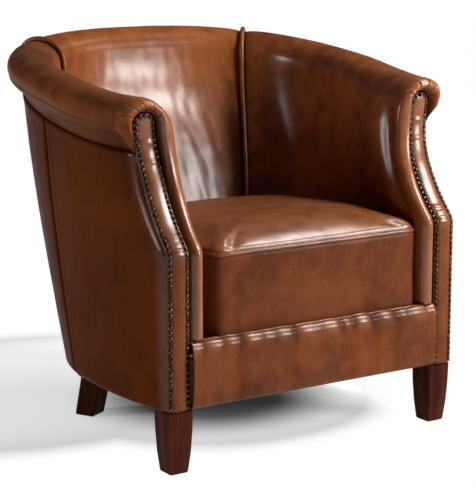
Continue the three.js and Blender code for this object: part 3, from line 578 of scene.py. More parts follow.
class Nodes:
    """A short way to add and link the nodes of one tree."""

    def __init__(self, tree: bpy.types.NodeTree) -> None:
        """Keeps the tree and empties it."""
        self.tree = tree
        tree.nodes.clear()

    def add(self, kind: str, inputs: dict | None = None, **settings: object) -> Node:
        """Adds a node.

        Args:
            kind: The node's type name.
            inputs: Values or sockets for its inputs, by name or number.
            settings: The node's own properties.

        Returns:
            The node.
        """
        node = self.tree.nodes.new(kind)
        for key, value in settings.items():
            setattr(node, key, value)
        for key, value in (inputs or {}).items():
            if isinstance(value, bpy.types.NodeSocket):
                self.tree.links.new(value, node.inputs[key])
            else:
                node.inputs[key].default_value = value
        return node

    def math(self, operation: str, a: Socket | float, b: Socket | float = 0.0) -> Socket:
        """Adds a Math node and gives its output."""
        return self.add("ShaderNodeMath", {0: a, 1: b}, operation=operation).outputs[0]

    def mix(self, share: Socket | float, a: Socket | tuple, b: Socket | tuple) -> Socket:
        """Adds a colour Mix node and gives its output."""
        node = self.add("ShaderNodeMix", {"Factor": share}, data_type="RGBA")
        for place, value in ((6, a), (7, b)):
            if isinstance(value, bpy.types.NodeSocket):
                self.tree.links.new(value, node.inputs[place])
            else:
                node.inputs[place].default_value = value
        return node.outputs[2]

    def spread(self, value: Socket, low: float, high: float, to_low: float = 0.0, to_high: float = 1.0) -> Socket:
        """Adds a Map Range node that stretches a value, and gives its output."""
        inputs = {"Value": value, "From Min": low, "From Max": high, "To Min": to_low, "To Max": to_high}
        return self.add("ShaderNodeMapRange", inputs, interpolation_type="SMOOTHSTEP").outputs[0]

    def noise(self, vector: Socket, scale: float, detail: float = 3.0, stretch: Colour | None = None) -> Socket:
        """Adds a Noise texture, stretched if asked, and gives its value."""
        if stretch:
            vector = self.add("ShaderNodeMapping", {"Vector": vector, "Scale": stretch}).outputs[0]
        inputs = {"Vector": vector, "Scale": scale, "Detail": detail}
        return self.add("ShaderNodeTexNoise", inputs).outputs[0]


class Effects:
    """Node groups that several finishes share, each built once."""

    def __init__(self) -> None:
        """Builds every group."""
        self.tone = self._leather_tone()
        self.grain = self._leather_grain()
        self.wood = self._wood_grain()
        self.weave = self._weave()
        self.patina = self._patina()

    @staticmethod
    def _group(name: str, inputs: dict, outputs: dict) -> tuple[bpy.types.NodeTree, Nodes, Node, Node]:
        """Starts a group.

        Args:
            name: The group's name.
            inputs: Socket types of its inputs, by name.
            outputs: Socket types of its outputs, by name.

        Returns:
            The tree, a way to add nodes to it, and its input and output nodes.
        """
        tree = bpy.data.node_groups.new(name, "ShaderNodeTree")
        for socket, kind in inputs.items():
            tree.interface.new_socket(socket, in_out="INPUT", socket_type=kind)
        for socket, kind in outputs.items():
            tree.interface.new_socket(socket, in_out="OUTPUT", socket_type=kind)
        nodes = Nodes(tree)
        return tree, nodes, nodes.add("NodeGroupInput"), nodes.add("NodeGroupOutput")

    def _leather_tone(self) -> bpy.types.NodeTree:
        """Cloudy dye, lighter where the hide is rubbed and where light is painted on, darker where shade is painted
        into its creases and recesses, with the gloss to match.
        """
        colour, value, vector = "NodeSocketColor", "NodeSocketFloat", "NodeSocketVector"
        tree, nodes, given, put = self._group(
            "leather_tone",
            {"Vector": vector, "Dark": colour, "Base": colour, "Light": colour, "Wear": value, "Crease": value,
             "Polish": value, "Gloss": value},
            {"Color": colour, "Roughness": value, "Coat": value},
        )
        place = given.outputs["Vector"]
        cloud = nodes.noise(place, 5.5, 3.0)
        mottle = nodes.noise(place, 34.0, 5.0)
        streak = nodes.noise(place, 10.0, 4.0, (3.0, 3.0, 0.8))
        mixed = nodes.math("ADD", nodes.math("MULTIPLY", cloud, 0.55), nodes.math("MULTIPLY", mottle, 0.30))
        mixed = nodes.math("ADD", mixed, nodes.math("MULTIPLY", streak, 0.15))
        dyed = nodes.mix(nodes.spread(mixed, 0.34, 0.60), given.outputs["Dark"], given.outputs["Base"])
        contour = nodes.math("ABSOLUTE", nodes.math("SUBTRACT", nodes.noise(place, 17.0, 4.0), 0.5))
        patchy = nodes.spread(nodes.noise(place, 11.0, 2.0), 0.46, 0.66)
        scuff = nodes.math("MULTIPLY", nodes.spread(contour, 0.0, 0.006, 0.22, 0.0), patchy)
        # The wear mask lifts the dye towards the light colour: real rubbing, and painted light in a few places.
        rubbed = nodes.math("MULTIPLY", given.outputs["Wear"], nodes.spread(mottle, 0.25, 0.7, 0.55, 1.0))
        rubbed = nodes.math("MAXIMUM", rubbed, scuff)
        worn_and_painted_light = nodes.mix(rubbed, dyed, given.outputs["Light"])
        # Near-black painted shade, mixed in by the shade mask in creases, recesses and under the rolls.
        shaded = nodes.mix(0.75, given.outputs["Dark"], (0.006, 0.002, 0.001, 1.0))
        with_painted_shade = nodes.mix(given.outputs["Crease"], worn_and_painted_light, shaded)
        uneven = nodes.spread(mottle, 0.3, 0.7, -0.06, 0.07)
        rough = nodes.math("ADD", given.outputs["Gloss"], uneven)
        rough = nodes.math("ADD", rough, nodes.math("MULTIPLY", given.outputs["Crease"], 0.2))
        buffed = nodes.math("MULTIPLY", given.outputs["Polish"], nodes.spread(mottle, 0.25, 0.75, 0.55, 0.8))
        nodes.tree.links.new(buffed, put.inputs["Coat"])
        nodes.tree.links.new(with_painted_shade, put.inputs["Color"])
        nodes.tree.links.new(rough, put.inputs["Roughness"])
        return tree

    def _leather_grain(self) -> bpy.types.NodeTree:
        """Fine pebbled grain, pores and faint stretch lines, as a height."""
        value, vector = "NodeSocketFloat", "NodeSocketVector"
        tree, nodes, given, put = self._group("leather_grain", {"Vector": vector}, {"Height": value})
        place = given.outputs["Vector"]
        pebble = nodes.add("ShaderNodeTexVoronoi", {"Vector": place, "Scale": 620.0}).outputs["Distance"]
        pores = nodes.noise(place, 1500.0, 2.0)
        lines = nodes.noise(place, 130.0, 5.0, (1.0, 1.0, 0.45))
        crinkle = nodes.noise(place, 58.0, 6.0, (1.0, 1.0, 0.7))
        height = nodes.math("ADD", nodes.math("MULTIPLY", pebble, 0.3), nodes.math("MULTIPLY", pores, 0.15))
        height = nodes.math("ADD", height, nodes.math("MULTIPLY", lines, 0.9))
        height = nodes.math("ADD", height, nodes.math("MULTIPLY", crinkle, 1.5))
        folds = nodes.math("ABSOLUTE", nodes.math("SUBTRACT", nodes.noise(place, 40.0, 5.0, (1.0, 1.0, 0.6)), 0.5))
        height = nodes.math("ADD", height, nodes.math("MULTIPLY", folds, 2.4))
        nodes.tree.links.new(height, put.inputs["Height"])
        return tree

    def _wood_grain(self) -> bpy.types.NodeTree:
        """Grain that runs up the wood, as a share of the late growth and a height."""
        value, vector = "NodeSocketFloat", "NodeSocketVector"
        tree, nodes, given, put = self._group(
            "wood_grain", {"Vector": vector, "Scale": value}, {"Late": value, "Height": value}
        )
        scaled = nodes.add("ShaderNodeVectorMath", {0: given.outputs["Vector"]}, operation="SCALE")
        nodes.tree.links.new(given.outputs["Scale"], scaled.inputs["Scale"])
        place = scaled.outputs[0]
        bands = nodes.noise(place, 46.0, 3.0, (1.0, 1.0, 0.05))
        fibres = nodes.noise(place, 420.0, 3.0, (1.0, 1.0, 0.02))
        late = nodes.math("ADD", nodes.math("MULTIPLY", bands, 0.65), nodes.math("MULTIPLY", fibres, 0.35))
        nodes.tree.links.new(nodes.spread(late, 0.38, 0.66), put.inputs["Late"])
        nodes.tree.links.new(fibres, put.inputs["Height"])
        return tree

    def _weave(self) -> bpy.types.NodeTree:
        """Threads that cross over and under, as a height."""
        value, vector = "NodeSocketFloat", "NodeSocketVector"
        tree, nodes, given, put = self._group("weave", {"Vector": vector, "Scale": value}, {"Height": value})
        waves = []
        for direction in ("X", "Y"):
            wave = nodes.add("ShaderNodeTexWave", {"Vector": given.outputs["Vector"]}, bands_direction=direction)
            nodes.tree.links.new(given.outputs["Scale"], wave.inputs["Scale"])
            waves.append(wave.outputs["Fac"])
        nodes.tree.links.new(nodes.math("MAXIMUM", *waves), put.inputs["Height"])
        return tree

    def _patina(self) -> bpy.types.NodeTree:
        """Blotches of tarnish on metal, as a share."""
        value, vector = "NodeSocketFloat", "NodeSocketVector"
        tree, nodes, given, put = self._group("patina", {"Vector": vector}, {"Tarnish": value})
        blotch = nodes.noise(given.outputs["Vector"], 240.0, 3.0)
        nodes.tree.links.new(nodes.spread(blotch, 0.35, 0.65), put.inputs["Tarnish"])
        return tree


def start_material(name: str) -> tuple[Material, Nodes, Node, Socket]:
    """Starts a material with its shader linked.

    Args:
        name: The material's name.

    Returns:
        The material, a way to add nodes, its Principled shader, and its place in the chair's frame.
    """
    material = bpy.data.materials.new(name)
    material.use_nodes = True
    nodes = Nodes(material.node_tree)
    shader = nodes.add("ShaderNodeBsdfPrincipled")
    output = nodes.add("ShaderNodeOutputMaterial")
    nodes.tree.links.new(shader.outputs[0], output.inputs["Surface"])
    place = nodes.add("ShaderNodeTexCoord").outputs["Object"]
    return material, nodes, shader, place


def link_bump(nodes: Nodes, shader: Node, height: Socket, distance: float, strength: float = 1.0) -> None:
    """Links a height to a shader's normal through a Bump node."""
    bump = nodes.add("ShaderNodeBump", {"Height": height, "Distance": distance, "Strength": strength})
    nodes.tree.links.new(bump.outputs[0], shader.inputs["Normal"])


def rgba(colour: Colour) -> tuple[float, float, float, float]:
    """A colour with full alpha."""
    return (*colour, 1.0)


@dataclass(frozen=True)
class LeatherFinish:
    """Burnished hide: its dye, its rubbed places, the light and shade painted into it, and its gloss."""

    name: str
    dark: Colour
    base: Colour
    light: Colour
    gloss: float = 0.45
    specular: float = 0.10
    sheen: Colour = (1.0, 0.6, 0.38)
    coat_roughness: float = 0.24
    coat_index: float = 1.7
    grain: float = 0.0006

    def build(self, effects: Effects) -> Material:
        """Makes the material.

        Args:
            effects: The shared node groups.

        Returns:
            The material.
        """
        material, nodes, shader, place = start_material(self.name)
        tone = nodes.add("ShaderNodeGroup", node_tree=effects.tone)
        colours = {"Dark": self.dark, "Base": self.base, "Light": self.light}
        for socket, colour in colours.items():
            tone.inputs[socket].default_value = rgba(colour)
        tone.inputs["Gloss"].default_value = self.gloss
        nodes.tree.links.new(place, tone.inputs["Vector"])
        # The shade mask feeds painted shade; the wear mask feeds rubbing with some painted light.
        for mark, socket in ((Mark.WEAR, "Wear"), (Mark.CREASE, "Crease"), (Mark.POLISH, "Polish")):
            mask = nodes.add("ShaderNodeAttribute", attribute_name=mark.value)
            nodes.tree.links.new(mask.outputs["Fac"], tone.inputs[socket])
        nodes.tree.links.new(tone.outputs["Color"], shader.inputs["Base Color"])
        nodes.tree.links.new(tone.outputs["Roughness"], shader.inputs["Roughness"])
        nodes.tree.links.new(tone.outputs["Coat"], shader.inputs["Coat Weight"])
        shader.inputs["Specular IOR Level"].default_value = self.specular
        shader.inputs["Specular Tint"].default_value = rgba(self.sheen)
        shader.inputs["Coat Roughness"].default_value = self.coat_roughness
        shader.inputs["Coat IOR"].default_value = self.coat_index
        grain = nodes.add("ShaderNodeGroup", {"Vector": place}, node_tree=effects.grain)
        link_bump(nodes, shader, grain.outputs["Height"], self.grain)
        return material


@dataclass(frozen=True)
class WoodFinish:
    """Wood with its grain running up."""

    name: str
    early: Colour
    late: Colour
    scale: float = 1.0
    roughness: float = 0.38
    specular: float = 0.4
    coat: float = 0.0

    def build(self, effects: Effects) -> Material:
        """Makes the material from the shared node groups."""
        material, nodes, shader, place = start_material(self.name)
        grain = nodes.add("ShaderNodeGroup", {"Vector": place, "Scale": self.scale}, node_tree=effects.wood)
        colour = nodes.mix(grain.outputs["Late"], rgba(self.early), rgba(self.late))
        nodes.tree.links.new(colour, shader.inputs["Base Color"])
        rough = nodes.spread(grain.outputs["Late"], 0.0, 1.0, self.roughness, self.roughness + 0.12)
        nodes.tree.links.new(rough, shader.inputs["Roughness"])
        shader.inputs["Specular IOR Level"].default_value = self.specular
        shader.inputs["Coat Weight"].default_value = self.coat
        shader.inputs["Coat Roughness"].default_value = 0.25
        link_bump(nodes, shader, grain.outputs["Height"], 0.0003)
        return material


@dataclass(frozen=True)
class MetalFinish:
    """Metal with tarnish over its polish."""

    name: str
    polish: Colour
    tarnish: Colour
    roughness: float = 0.28

    def build(self, effects: Effects) -> Material:
        """Makes the material from the shared node groups."""
        material, nodes, shader, place = start_material(self.name)
        patina = nodes.add("ShaderNodeGroup", {"Vector": place}, node_tree=effects.patina)
        colour = nodes.mix(patina.outputs["Tarnish"], rgba(self.polish), rgba(self.tarnish))
        nodes.tree.links.new(colour, shader.inputs["Base Color"])
        rough = nodes.spread(patina.outputs["Tarnish"], 0.0, 1.0, self.roughness, self.roughness + 0.15)
        nodes.tree.links.new(rough, shader.inputs["Roughness"])
        shader.inputs["Metallic"].default_value = 1.0
        return material


@dataclass(frozen=True)
class ClothFinish:
    """Plain woven cloth."""

    name: str
    colour: Colour
    faded: Colour
    threads: float = 500.0

    def build(self, effects: Effects) -> Material:
        """Makes the material from the shared node groups."""
        material, nodes, shader, place = start_material(self.name)
        weave = nodes.add("ShaderNodeGroup", {"Vector": place, "Scale": self.threads}, node_tree=effects.weave)
        drift = nodes.spread(nodes.noise(place, 18.0), 0.35, 0.65)
        nodes.tree.links.new(nodes.mix(drift, rgba(self.colour), rgba(self.faded)), shader.inputs["Base Color"])
        shader.inputs["Roughness"].default_value = 0.9
        link_bump(nodes, shader, weave.outputs["Height"], 0.0004)
        return material


HIDE = LeatherFinish(
    "burnished_hide", (0.10, 0.021, 0.005), (0.25, 0.066, 0.0155), (0.45, 0.155, 0.05), specular=0.06
)
OUTER_HIDE = LeatherFinish(
    "outer_hide", (0.068, 0.013, 0.002), (0.130, 0.028, 0.0042), (0.25, 0.072, 0.015), specular=0.015
)
SEAT_HIDE = LeatherFinish(
    "seat_hide", (0.09, 0.0235, 0.0075), (0.18, 0.051, 0.0155), (0.36, 0.128, 0.045), specular=0.06
)
FACING_HIDE = LeatherFinish(
    "cognac_hide", (0.09, 0.021, 0.0045), (0.20, 0.050, 0.0105), (0.38, 0.13, 0.04), specular=0.06
)
PIPING_HIDE = LeatherFinish("piping_hide", (0.15, 0.037, 0.010), (0.27, 0.074, 0.018), (0.43, 0.15, 0.05))
LEG_WOOD = WoodFinish("mahogany_stain", (0.095, 0.022, 0.012), (0.032, 0.008, 0.005), specular=0.02)
BEECH_WOOD = WoodFinish("sawn_beech", (0.52, 0.29, 0.12), (0.40, 0.20, 0.08), 0.6, 0.7)
NAIL_METAL = MetalFinish("antique_bronze", (0.11, 0.076, 0.046), (0.012, 0.008, 0.005), 0.22)
BOLT_METAL = MetalFinish("zinc_steel", (0.42, 0.42, 0.41), (0.28, 0.28, 0.27))
LINING = ClothFinish("black_lining", (0.012, 0.011, 0.010), (0.02, 0.019, 0.018))
WEBBING = ClothFinish("elastic_webbing", (0.16, 0.13, 0.09), (0.12, 0.10, 0.07), 300.0)


# Inside of the tub


def pleat_field(section: Section, roll_length: float) -> tuple[Array, Array, Array]:
    """The gathers round an arm's head, for each column.

    Args:
        section: Where the columns lie.
        roll_length: Length of the roll's round.

    Returns:
        How far each column is pushed out, in metres, how much painted shade its pleat's groove gets, and how rubbed
        its fold is.
    """
    groove, width, fold = 0.0026, 0.0009, 0.0008
    push = np.zeros(len(section.on_roll))
    depth = np.zeros_like(push)
    rubbed = np.zeros_like(push)
    for pleat in PLEATS:
        away = (section.on_roll - pleat) * roll_length
        push += fold * hump(away, 0.005, 0.004) - groove * np.exp(-np.abs(away) / width)
        # Painted shade in each pleat's groove.
        depth += np.exp(-np.abs(away) / (0.8 * width))
        rubbed += hump(away, 0.0024, 0.0014)
    return push, depth, rubbed


@dataclass
class InsideArm:
    """One inside arm cover, from the deck over the roll, with the pleated rim round the arm front."""

    side: Side
    rows: int = 84
    rim_rows: int = 40
    section: Section = field(default_factory=lambda: Section.pleated(64, 64, 20))
    roll_length: float = 0.19
    path_length: float = 0.9
    least_padding: float = 0.002
    most_padding: float = 0.014

    def build(self) -> Object:
        """Makes the cover's mesh."""
        seam = TUB.back_seam - 0.0035
        shares = seam * np.linspace(0.0, 1.0, self.rows) ** 1.25
        turns = np.linspace(1.0, 0.0, self.rim_rows, endpoint=False)
        rim = TUB.rim(self.side, turns, self.section)
        arm = TUB.cover(self.side.value * (1 - shares), self.section)
        grid = np.concatenate([rim, arm])
        from_front = np.concatenate([-turns * 0.05, shares * self.path_length])
        if self.side is Side.RIGHT:
            grid, from_front = grid[::-1], from_front[::-1]
        normals = grid_normals(grid)
        push, marks = self._relief(grid, from_front[:, None], seam * self.path_length)
        return grid_object(f"arm_hide_{self.side.word}", grid + normals * push[..., None], marks)

    def _relief(self, grid: Array, from_front: Array, seam_end: float) -> tuple[Array, Marks]:
        """Pleats, the pinch at the piped seam, soft dents, and the masks that go with them.

        Args:
            grid: The smooth cover.
            from_front: How far each row lies behind the arm front.
            seam_end: Where the cover ends at the piped seam.

        Returns:
            How far to push each point out, and the masks.
        """
        push, depth, rubbed = pleat_field(self.section, self.roll_length)
        reach = smoothstep(-from_front, 0.004, 0.020) * smoothstep(-from_front, 0.052, 0.040)
        pinch = np.exp(-np.maximum(0.0, seam_end - from_front) / 0.014)
        dents = 0.0011 * noise_at(grid, (7.0, 7.0, 5.0), 3.1) + 0.0004 * noise_at(grid, 26.0, 8.4)
        on_arm = smoothstep(from_front, 0.0, 0.06)
        height = grid[..., 2]
        on_face = smoothstep(0.25 - self.section.on_roll, 0.0, 0.40)[None, :]
        padding = smoothstep(from_front, -0.006, 0.055) * (1 - smoothstep(from_front, 0.08, 0.30))
        padding = (padding - 0.25 * hump(from_front, 0.0, 0.018)) * on_face
        filled = smoothstep(height, 0.39, 0.46) * (1 - 0.7 * smoothstep(height, 0.58, 0.69))
        padding = padding * lerp(self.least_padding, self.most_padding, filled)
        total = push[None, :] * reach - 0.005 * pinch + dents * on_arm + padding
        crest = hump(self.section.on_roll, 0.42, 0.16)[None, :] * (0.25 + 0.75 * np.exp(-np.abs(from_front) / 0.12))
        bead = hump(from_front, -0.024, 0.009) * (self.section.on_roll < 0.95)[None, :]
        under = smoothstep(self.section.on_roll, 1.75, 2.0)[None, :]
        # Painted shade: darkens the pleat grooves, the pinch at the piped seam, the stretch under the roll and the
        # recess between the nails and the bead.
        crease = depth[None, :] * reach + 0.8 * pinch**3 + 0.6 * under + 0.3 * smoothstep(-from_front, 0.045, 0.050)
        # Painted shade on the face under the roll, which the floor would otherwise light.
        shaded = smoothstep(self.section.on_roll, 0.75, 1.3)[None, :] * (from_front > 0.0) * (1 - under)
        crease = crease + 0.45 * shaded
        # Painted light: lightens the upper inside face of the arm towards the roll.
        faded = on_arm * smoothstep(height, 0.44, 0.60) * on_face
        wear = 0.45 * crest * (from_front > -0.03) + 0.5 * bead + 0.6 * rubbed[None, :] * reach + 0.28 * faded
        polish = 1 - 0.98 * smoothstep(self.section.on_roll, 0.55, 0.85)[None, :]
        polish = polish * (1 + 0.3 * padding / self.most_padding - 0.6 * on_face * smoothstep(from_front, 0.16, 0.34))
        return total, {Mark.WEAR: wear, Mark.CREASE: crease, Mark.POLISH: polish}

    def dress(self, piece: Object, hide: Material) -> None:
        """Finishes the cover and puts it in place of the hide and padding."""
        nodes = [f"{name}_{self.side.word}" for name in ("inside_arm_cover", "arm_pad", "arm_roll_pad")]
        settle(piece, hide, "hide", *nodes)


@dataclass
class InsideBack:
    """The inside back cover, between the two piped seams."""

    rows: int = 150
    section: Section = field(default_factory=lambda: Section.spaced(72, 56, 18))
    path_length: float = 0.9

    def build(self) -> Object:
        """Makes the cover's mesh, pinched at the seams and rippled low down."""
        edge = 1 - TUB.back_seam - 0.0035
        places = edge * np.sin(np.linspace(-0.5, 0.5, self.rows) * HALF_TURN)
        grid = TUB.cover(places, self.section)
        to_seam = ((edge - np.abs(places)) * self.path_length)[:, None]
        pinch = np.exp(-to_seam / 0.014)
        low = (1 - smoothstep(grid[..., 2], 0.44, 0.64)) * smoothstep(to_seam, 0.0, 0.05)
        folds = noise_at(grid, (34.0, 10.0, 5.0), 5.7)
        soft = noise_at(grid, (8.0, 8.0, 6.0), 1.9)
        fine = noise_at(grid, (60.0, 30.0, 22.0), 2.6)
        push = 0.0014 * soft + 0.0024 * low * folds + 0.0004 * fine - 0.005 * pinch
        crest = hump(self.section.on_roll, 0.35, 0.2)[None, :]
        height = smoothstep(grid[..., 2], 0.54, 0.63)
        # Lighter band across the upper back below the roll: partly rubbing, partly painted light.
        rub_and_painted_light = hump(grid[..., 2], 0.64, 0.10) * smoothstep(to_seam, 0.0, 0.06)
        # Painted shadow in the lower corners beside both seams, below the arms' tops, where the arms shade the back.
        corner = (1 - smoothstep(to_seam, 0.028, 0.075)) * (1 - height)
        cloudy = smoothstep(noise_at(grid, (15.0, 15.0, 11.0), 6.3), -0.65, 0.25)
        buffed = smoothstep(to_seam, 0.005, 0.06) * lerp(0.55, 1.0, height) * lerp(0.45, 1.0, cloudy) * (1 - corner)
        # The shade mask is painted shade: at the pinched seams, under the roll and in the lower corners.
        marks = {
            Mark.WEAR: 0.22 * crest + 0.38 * rub_and_painted_light,
            Mark.CREASE: np.clip(
                0.8 * pinch**3 + 0.6 * smoothstep(self.section.on_roll, 1.75, 2.0)[None, :] + 0.85 * corner, 0.0, 0.92
            ),
            Mark.POLISH: buffed * (1 - 0.88 * smoothstep(self.section.on_roll, -0.13, 0.08)[None, :]),
        }
        return grid_object("back_hide", grid + grid_normals(grid) * push[..., None], marks)

    def dress(self, piece: Object, hide: Material) -> None:
        """Finishes the cover and puts it in place of the hide and padding."""
        settle(piece, hide, "hide", "inside_back_cover", "back_pad", "back_roll_pad")


@dataclass
class BackPiping:
    """The welt of one seam of the inside back."""

    side: Side
    radius: float = 0.0052
    proud: float = 0.0012

    def build(self) -> Object:
        """Makes the welt along its seam, a little uneven as hand-sewn welts are."""
        s = self.side.value * (1 - TUB.back_seam)
        section = Section.spaced(60, 60, 10)
        sections = TUB.cover(np.array([s - 0.004, s, s + 0.004]), section)
        path = sections[1] + grid_normals(sections)[1] * self.proud
        path = resample(path, 150)
        radii = self.radius * (1 + 0.06 * noise_at(path, 40.0, 4.4))
        return tube_object(f"back_welt_{self.side.word}", path, radii)

    def dress(self, piece: Object, hide: Material) -> None:
        """Finishes the welt and puts it in place of the piping."""
        settle(piece, hide, "piping", f"back_piping_{self.side.word}")


# Outside of the tub


@dataclass
class OutsideCovers:
    """The two outside arm covers and the outside back, with a folded seam between them."""

    arm_rows: int = 60
    back_rows: int = 120
    wall_columns: int = 70
    setback: float = 0.0045
    edge_depth: float = 0.024
    edge_round: float = 0.009
    path_length: float = 0.85
    dull: float = 0.02

    def _wall(self, places: Array) -> Array:
        """The outer wall from the seam under the roll down to its rounded hem, turned in underneath."""
        s = places[:, None]
        u = 1 - np.abs(s)
        radius = lerp(0.008, 0.024, smoothstep(u, 0.1, 0.5))
        foot = TUB.leg_height + radius
        top = TUB.crest(s) - TUB.drop(s) + 0.001
        z = lerp(top, foot, np.linspace(0.0, 1.0, self.wall_columns)[None, :])
        wall = TUB.outside_point(s, z, self.setback)
        inward = -TUB.outer_foot.normal(u)
        angles = np.radians(np.linspace(10, 90, 9))[None, :]
        tuck = np.concatenate([radius * (1 - np.cos(angles)), radius + np.array([[0.006, 0.013]])], axis=1)
        drop = np.concatenate([radius * np.sin(angles), np.repeat(radius - 0.0004, 2, axis=1)], axis=1)
        base = wall[:, -1:]
        hem = np.stack([
            base[..., 0] + np.sign(s) * inward[..., 0] * tuck,
            base[..., 1] + inward[..., 1] * tuck,
            base[..., 2] - drop,
        ], -1)
        return np.concatenate([wall, hem], axis=1)

    def _seam_relief(self, to_seam: Array, is_lapped: bool) -> tuple[Array, Array]:
        """The fold at the outside back's seam: how far to push out, and how much painted shade its groove gets."""
        groove = np.exp(-np.maximum(to_seam, 0.0) / 0.0022)
        lap = 0.0018 * hump(to_seam, 0.007, 0.0045) if is_lapped else 0.0
        return lap - 0.0028 * groove, groove

    def _finish_relief(self, grid: Array, push: Array) -> Array:
        """Adds the rolled top edge and broad ripples, and pushes the wall out."""
        depth_from_top = np.linspace(0.0, 1.0, grid.shape[1])[None, :] * 0.47
        lip = 0.0022 * np.exp(-(((depth_from_top - 0.006) / 0.006) ** 2)) - 0.002 * np.exp(-depth_from_top / 0.0025)
        ripple = 0.0012 * noise_at(grid, (9.0, 9.0, 2.2), 6.3) + 0.0003 * noise_at(grid, (30.0, 30.0, 12.0), 9.9)
        fade = smoothstep(grid[..., 2], TUB.leg_height, TUB.leg_height + 0.05)
        return grid + grid_normals(grid) * (push + lip + ripple * fade)[..., None]

    def build_arm(self, side: Side) -> Object:
        """Makes one outside arm cover, padded round its front edge.

        Args:
            side: Which arm.

        Returns:
            The new object.
        """
        shares = TUB.outer_seam * np.linspace(0.0, 1.0, self.arm_rows) ** 1.5
        grid = self._wall(side.value * (1 - shares))
        from_front = grid[..., 1] - grid[:1, :, 1]
        lean = np.clip(1 - from_front / self.edge_depth, 0.0, 1.0)
        grid[..., 0] -= side.value * self.edge_round * (1 - np.sqrt(1 - lean**2))
        turned_in = grid[:1] + np.array([-side.value * 0.010, 0.004, 0.0])
        grid = np.concatenate([turned_in, grid])
        to_seam = (TUB.outer_seam - np.concatenate([[0.0], shares]))[:, None] * self.path_length
        if side is Side.RIGHT:
            grid, to_seam = grid[::-1], to_seam[::-1]
        push, groove = self._seam_relief(to_seam, True)
        wear = 0.25 * np.exp(-np.abs(to_seam - 0.006) / 0.004) + 0.12 * hump(grid[..., 2], 0.47, 0.05)
        # Painted shade in the seam's groove and along the top edge under the roll.
        crease = 0.8 * groove + 0.7 * np.exp(-np.linspace(0, 0.47, grid.shape[1])[None, :] / 0.004)
        polish = self.dull + 0.6 * smoothstep(to_seam, 0.9 * to_seam.max(), to_seam.max())
        return grid_object(
            f"outside_arm_hide_{side.word}",
            self._finish_relief(grid, push),
            {Mark.WEAR: wear, Mark.CREASE: crease, Mark.POLISH: polish},
        )

    def build_back(self) -> Object:
        """Makes the outside back cover."""
        edge = 1 - TUB.outer_seam
        places = edge * np.linspace(-1.0, 1.0, self.back_rows)
        grid = self._wall(places)
        to_seam = (edge - np.abs(places))[:, None] * self.path_length
        push, groove = self._seam_relief(to_seam, False)
        # Painted shade in the seam's groove and along the top edge under the roll.
        crease = 0.7 * groove + 0.7 * np.exp(-np.linspace(0, 0.47, grid.shape[1])[None, :] / 0.004)
        marks = {Mark.WEAR: 0.0, Mark.CREASE: crease, Mark.POLISH: self.dull}
        return grid_object("outside_back_hide", self._finish_relief(grid, push), marks)

    def dress(self, pieces: dict[str, Object], hide: Material) -> None:
        """Finishes the covers, each in place of its node."""
        for node, piece in pieces.items():
            settle(piece, hide, "hide", node)


# Arm fronts


@dataclass
class ArmFacing:
    """The nailed panel down one arm front, wrinkled at the knee."""

    side: Side
    rows: int = 30
    foot: float = 0.1225
    crown: float = 0.0042
    nail_line: float = 0.0175
    wrinkles: tuple[float, ...] = (0.411, 0.420, 0.429, 0.439, 0.568, 0.602)

    def _heights(self) -> Array:
        """Heights up the panel, close together at the knee and round the head."""
        straight = np.linspace(self.foot, 0.395, 50)
        knee = np.linspace(0.395, 0.455, 50)[1:]
        swept = np.linspace(0.455, TUB.arch_centre, 50)[1:]
        head = TUB.arch_centre + TUB.facing_half * np.sin(np.radians(np.linspace(4, 86, 18)))
        return np.concatenate([straight, knee, swept, head])

    def build(self) -> Object:
        """Makes the panel's mesh."""
        z = self._heights()[None, :]
        across = np.linspace(-1.0, 1.0, self.rows)[:, None]
        above = np.maximum(0.0, z - TUB.arch_centre)
        half = np.sqrt(TUB.facing_half**2 - above**2)
        middle = TUB.facing_middle(np.minimum(z, TUB.arch_centre))
        x = self.side.value * middle + across * half
        from_line = np.abs(across) * half / self.nail_line
        padding = np.clip(1 - np.maximum(from_line, above / self.nail_line) ** 2, 0.0, 1.0)
        ruck = sum(hump(z, w, 0.0032) for w in self.wrinkles) * smoothstep(padding, 0.0, 0.7)
        points = np.stack(np.broadcast_arrays(x, z, z), -1)
        slow = noise_at(points, 24.0, 2.2)
        y = TUB.sweep(z) - self.crown * padding**0.7 - 0.0018 * ruck - 0.0007 * slow * padding - TUB.middle_depth
        grid = np.stack(np.broadcast_arrays(x, y, z), -1)
        at_nails = hump(from_line, 1.0, 0.22)
        marks = {
            # Rubbed padding above the knee; the panel below it is kept darker as painted shade.
            Mark.WEAR: lerp(0.05, 0.4, smoothstep(z, 0.38, 0.44)) * padding,
            # Painted shade along the lines of nails.
            Mark.CREASE: 0.7 * at_nails,
            Mark.POLISH: lerp(0.2, 1.0, smoothstep(z, 0.385, 0.43)),
        }
        return grid_object(f"facing_hide_{self.side.word}", grid, marks, 0.004)

    def dress(self, piece: Object, hide: Material) -> None:
        """Finishes the panel and puts it in place of the facing."""
        settle(piece, hide, "facing", f"arm_facing_{self.side.word}")


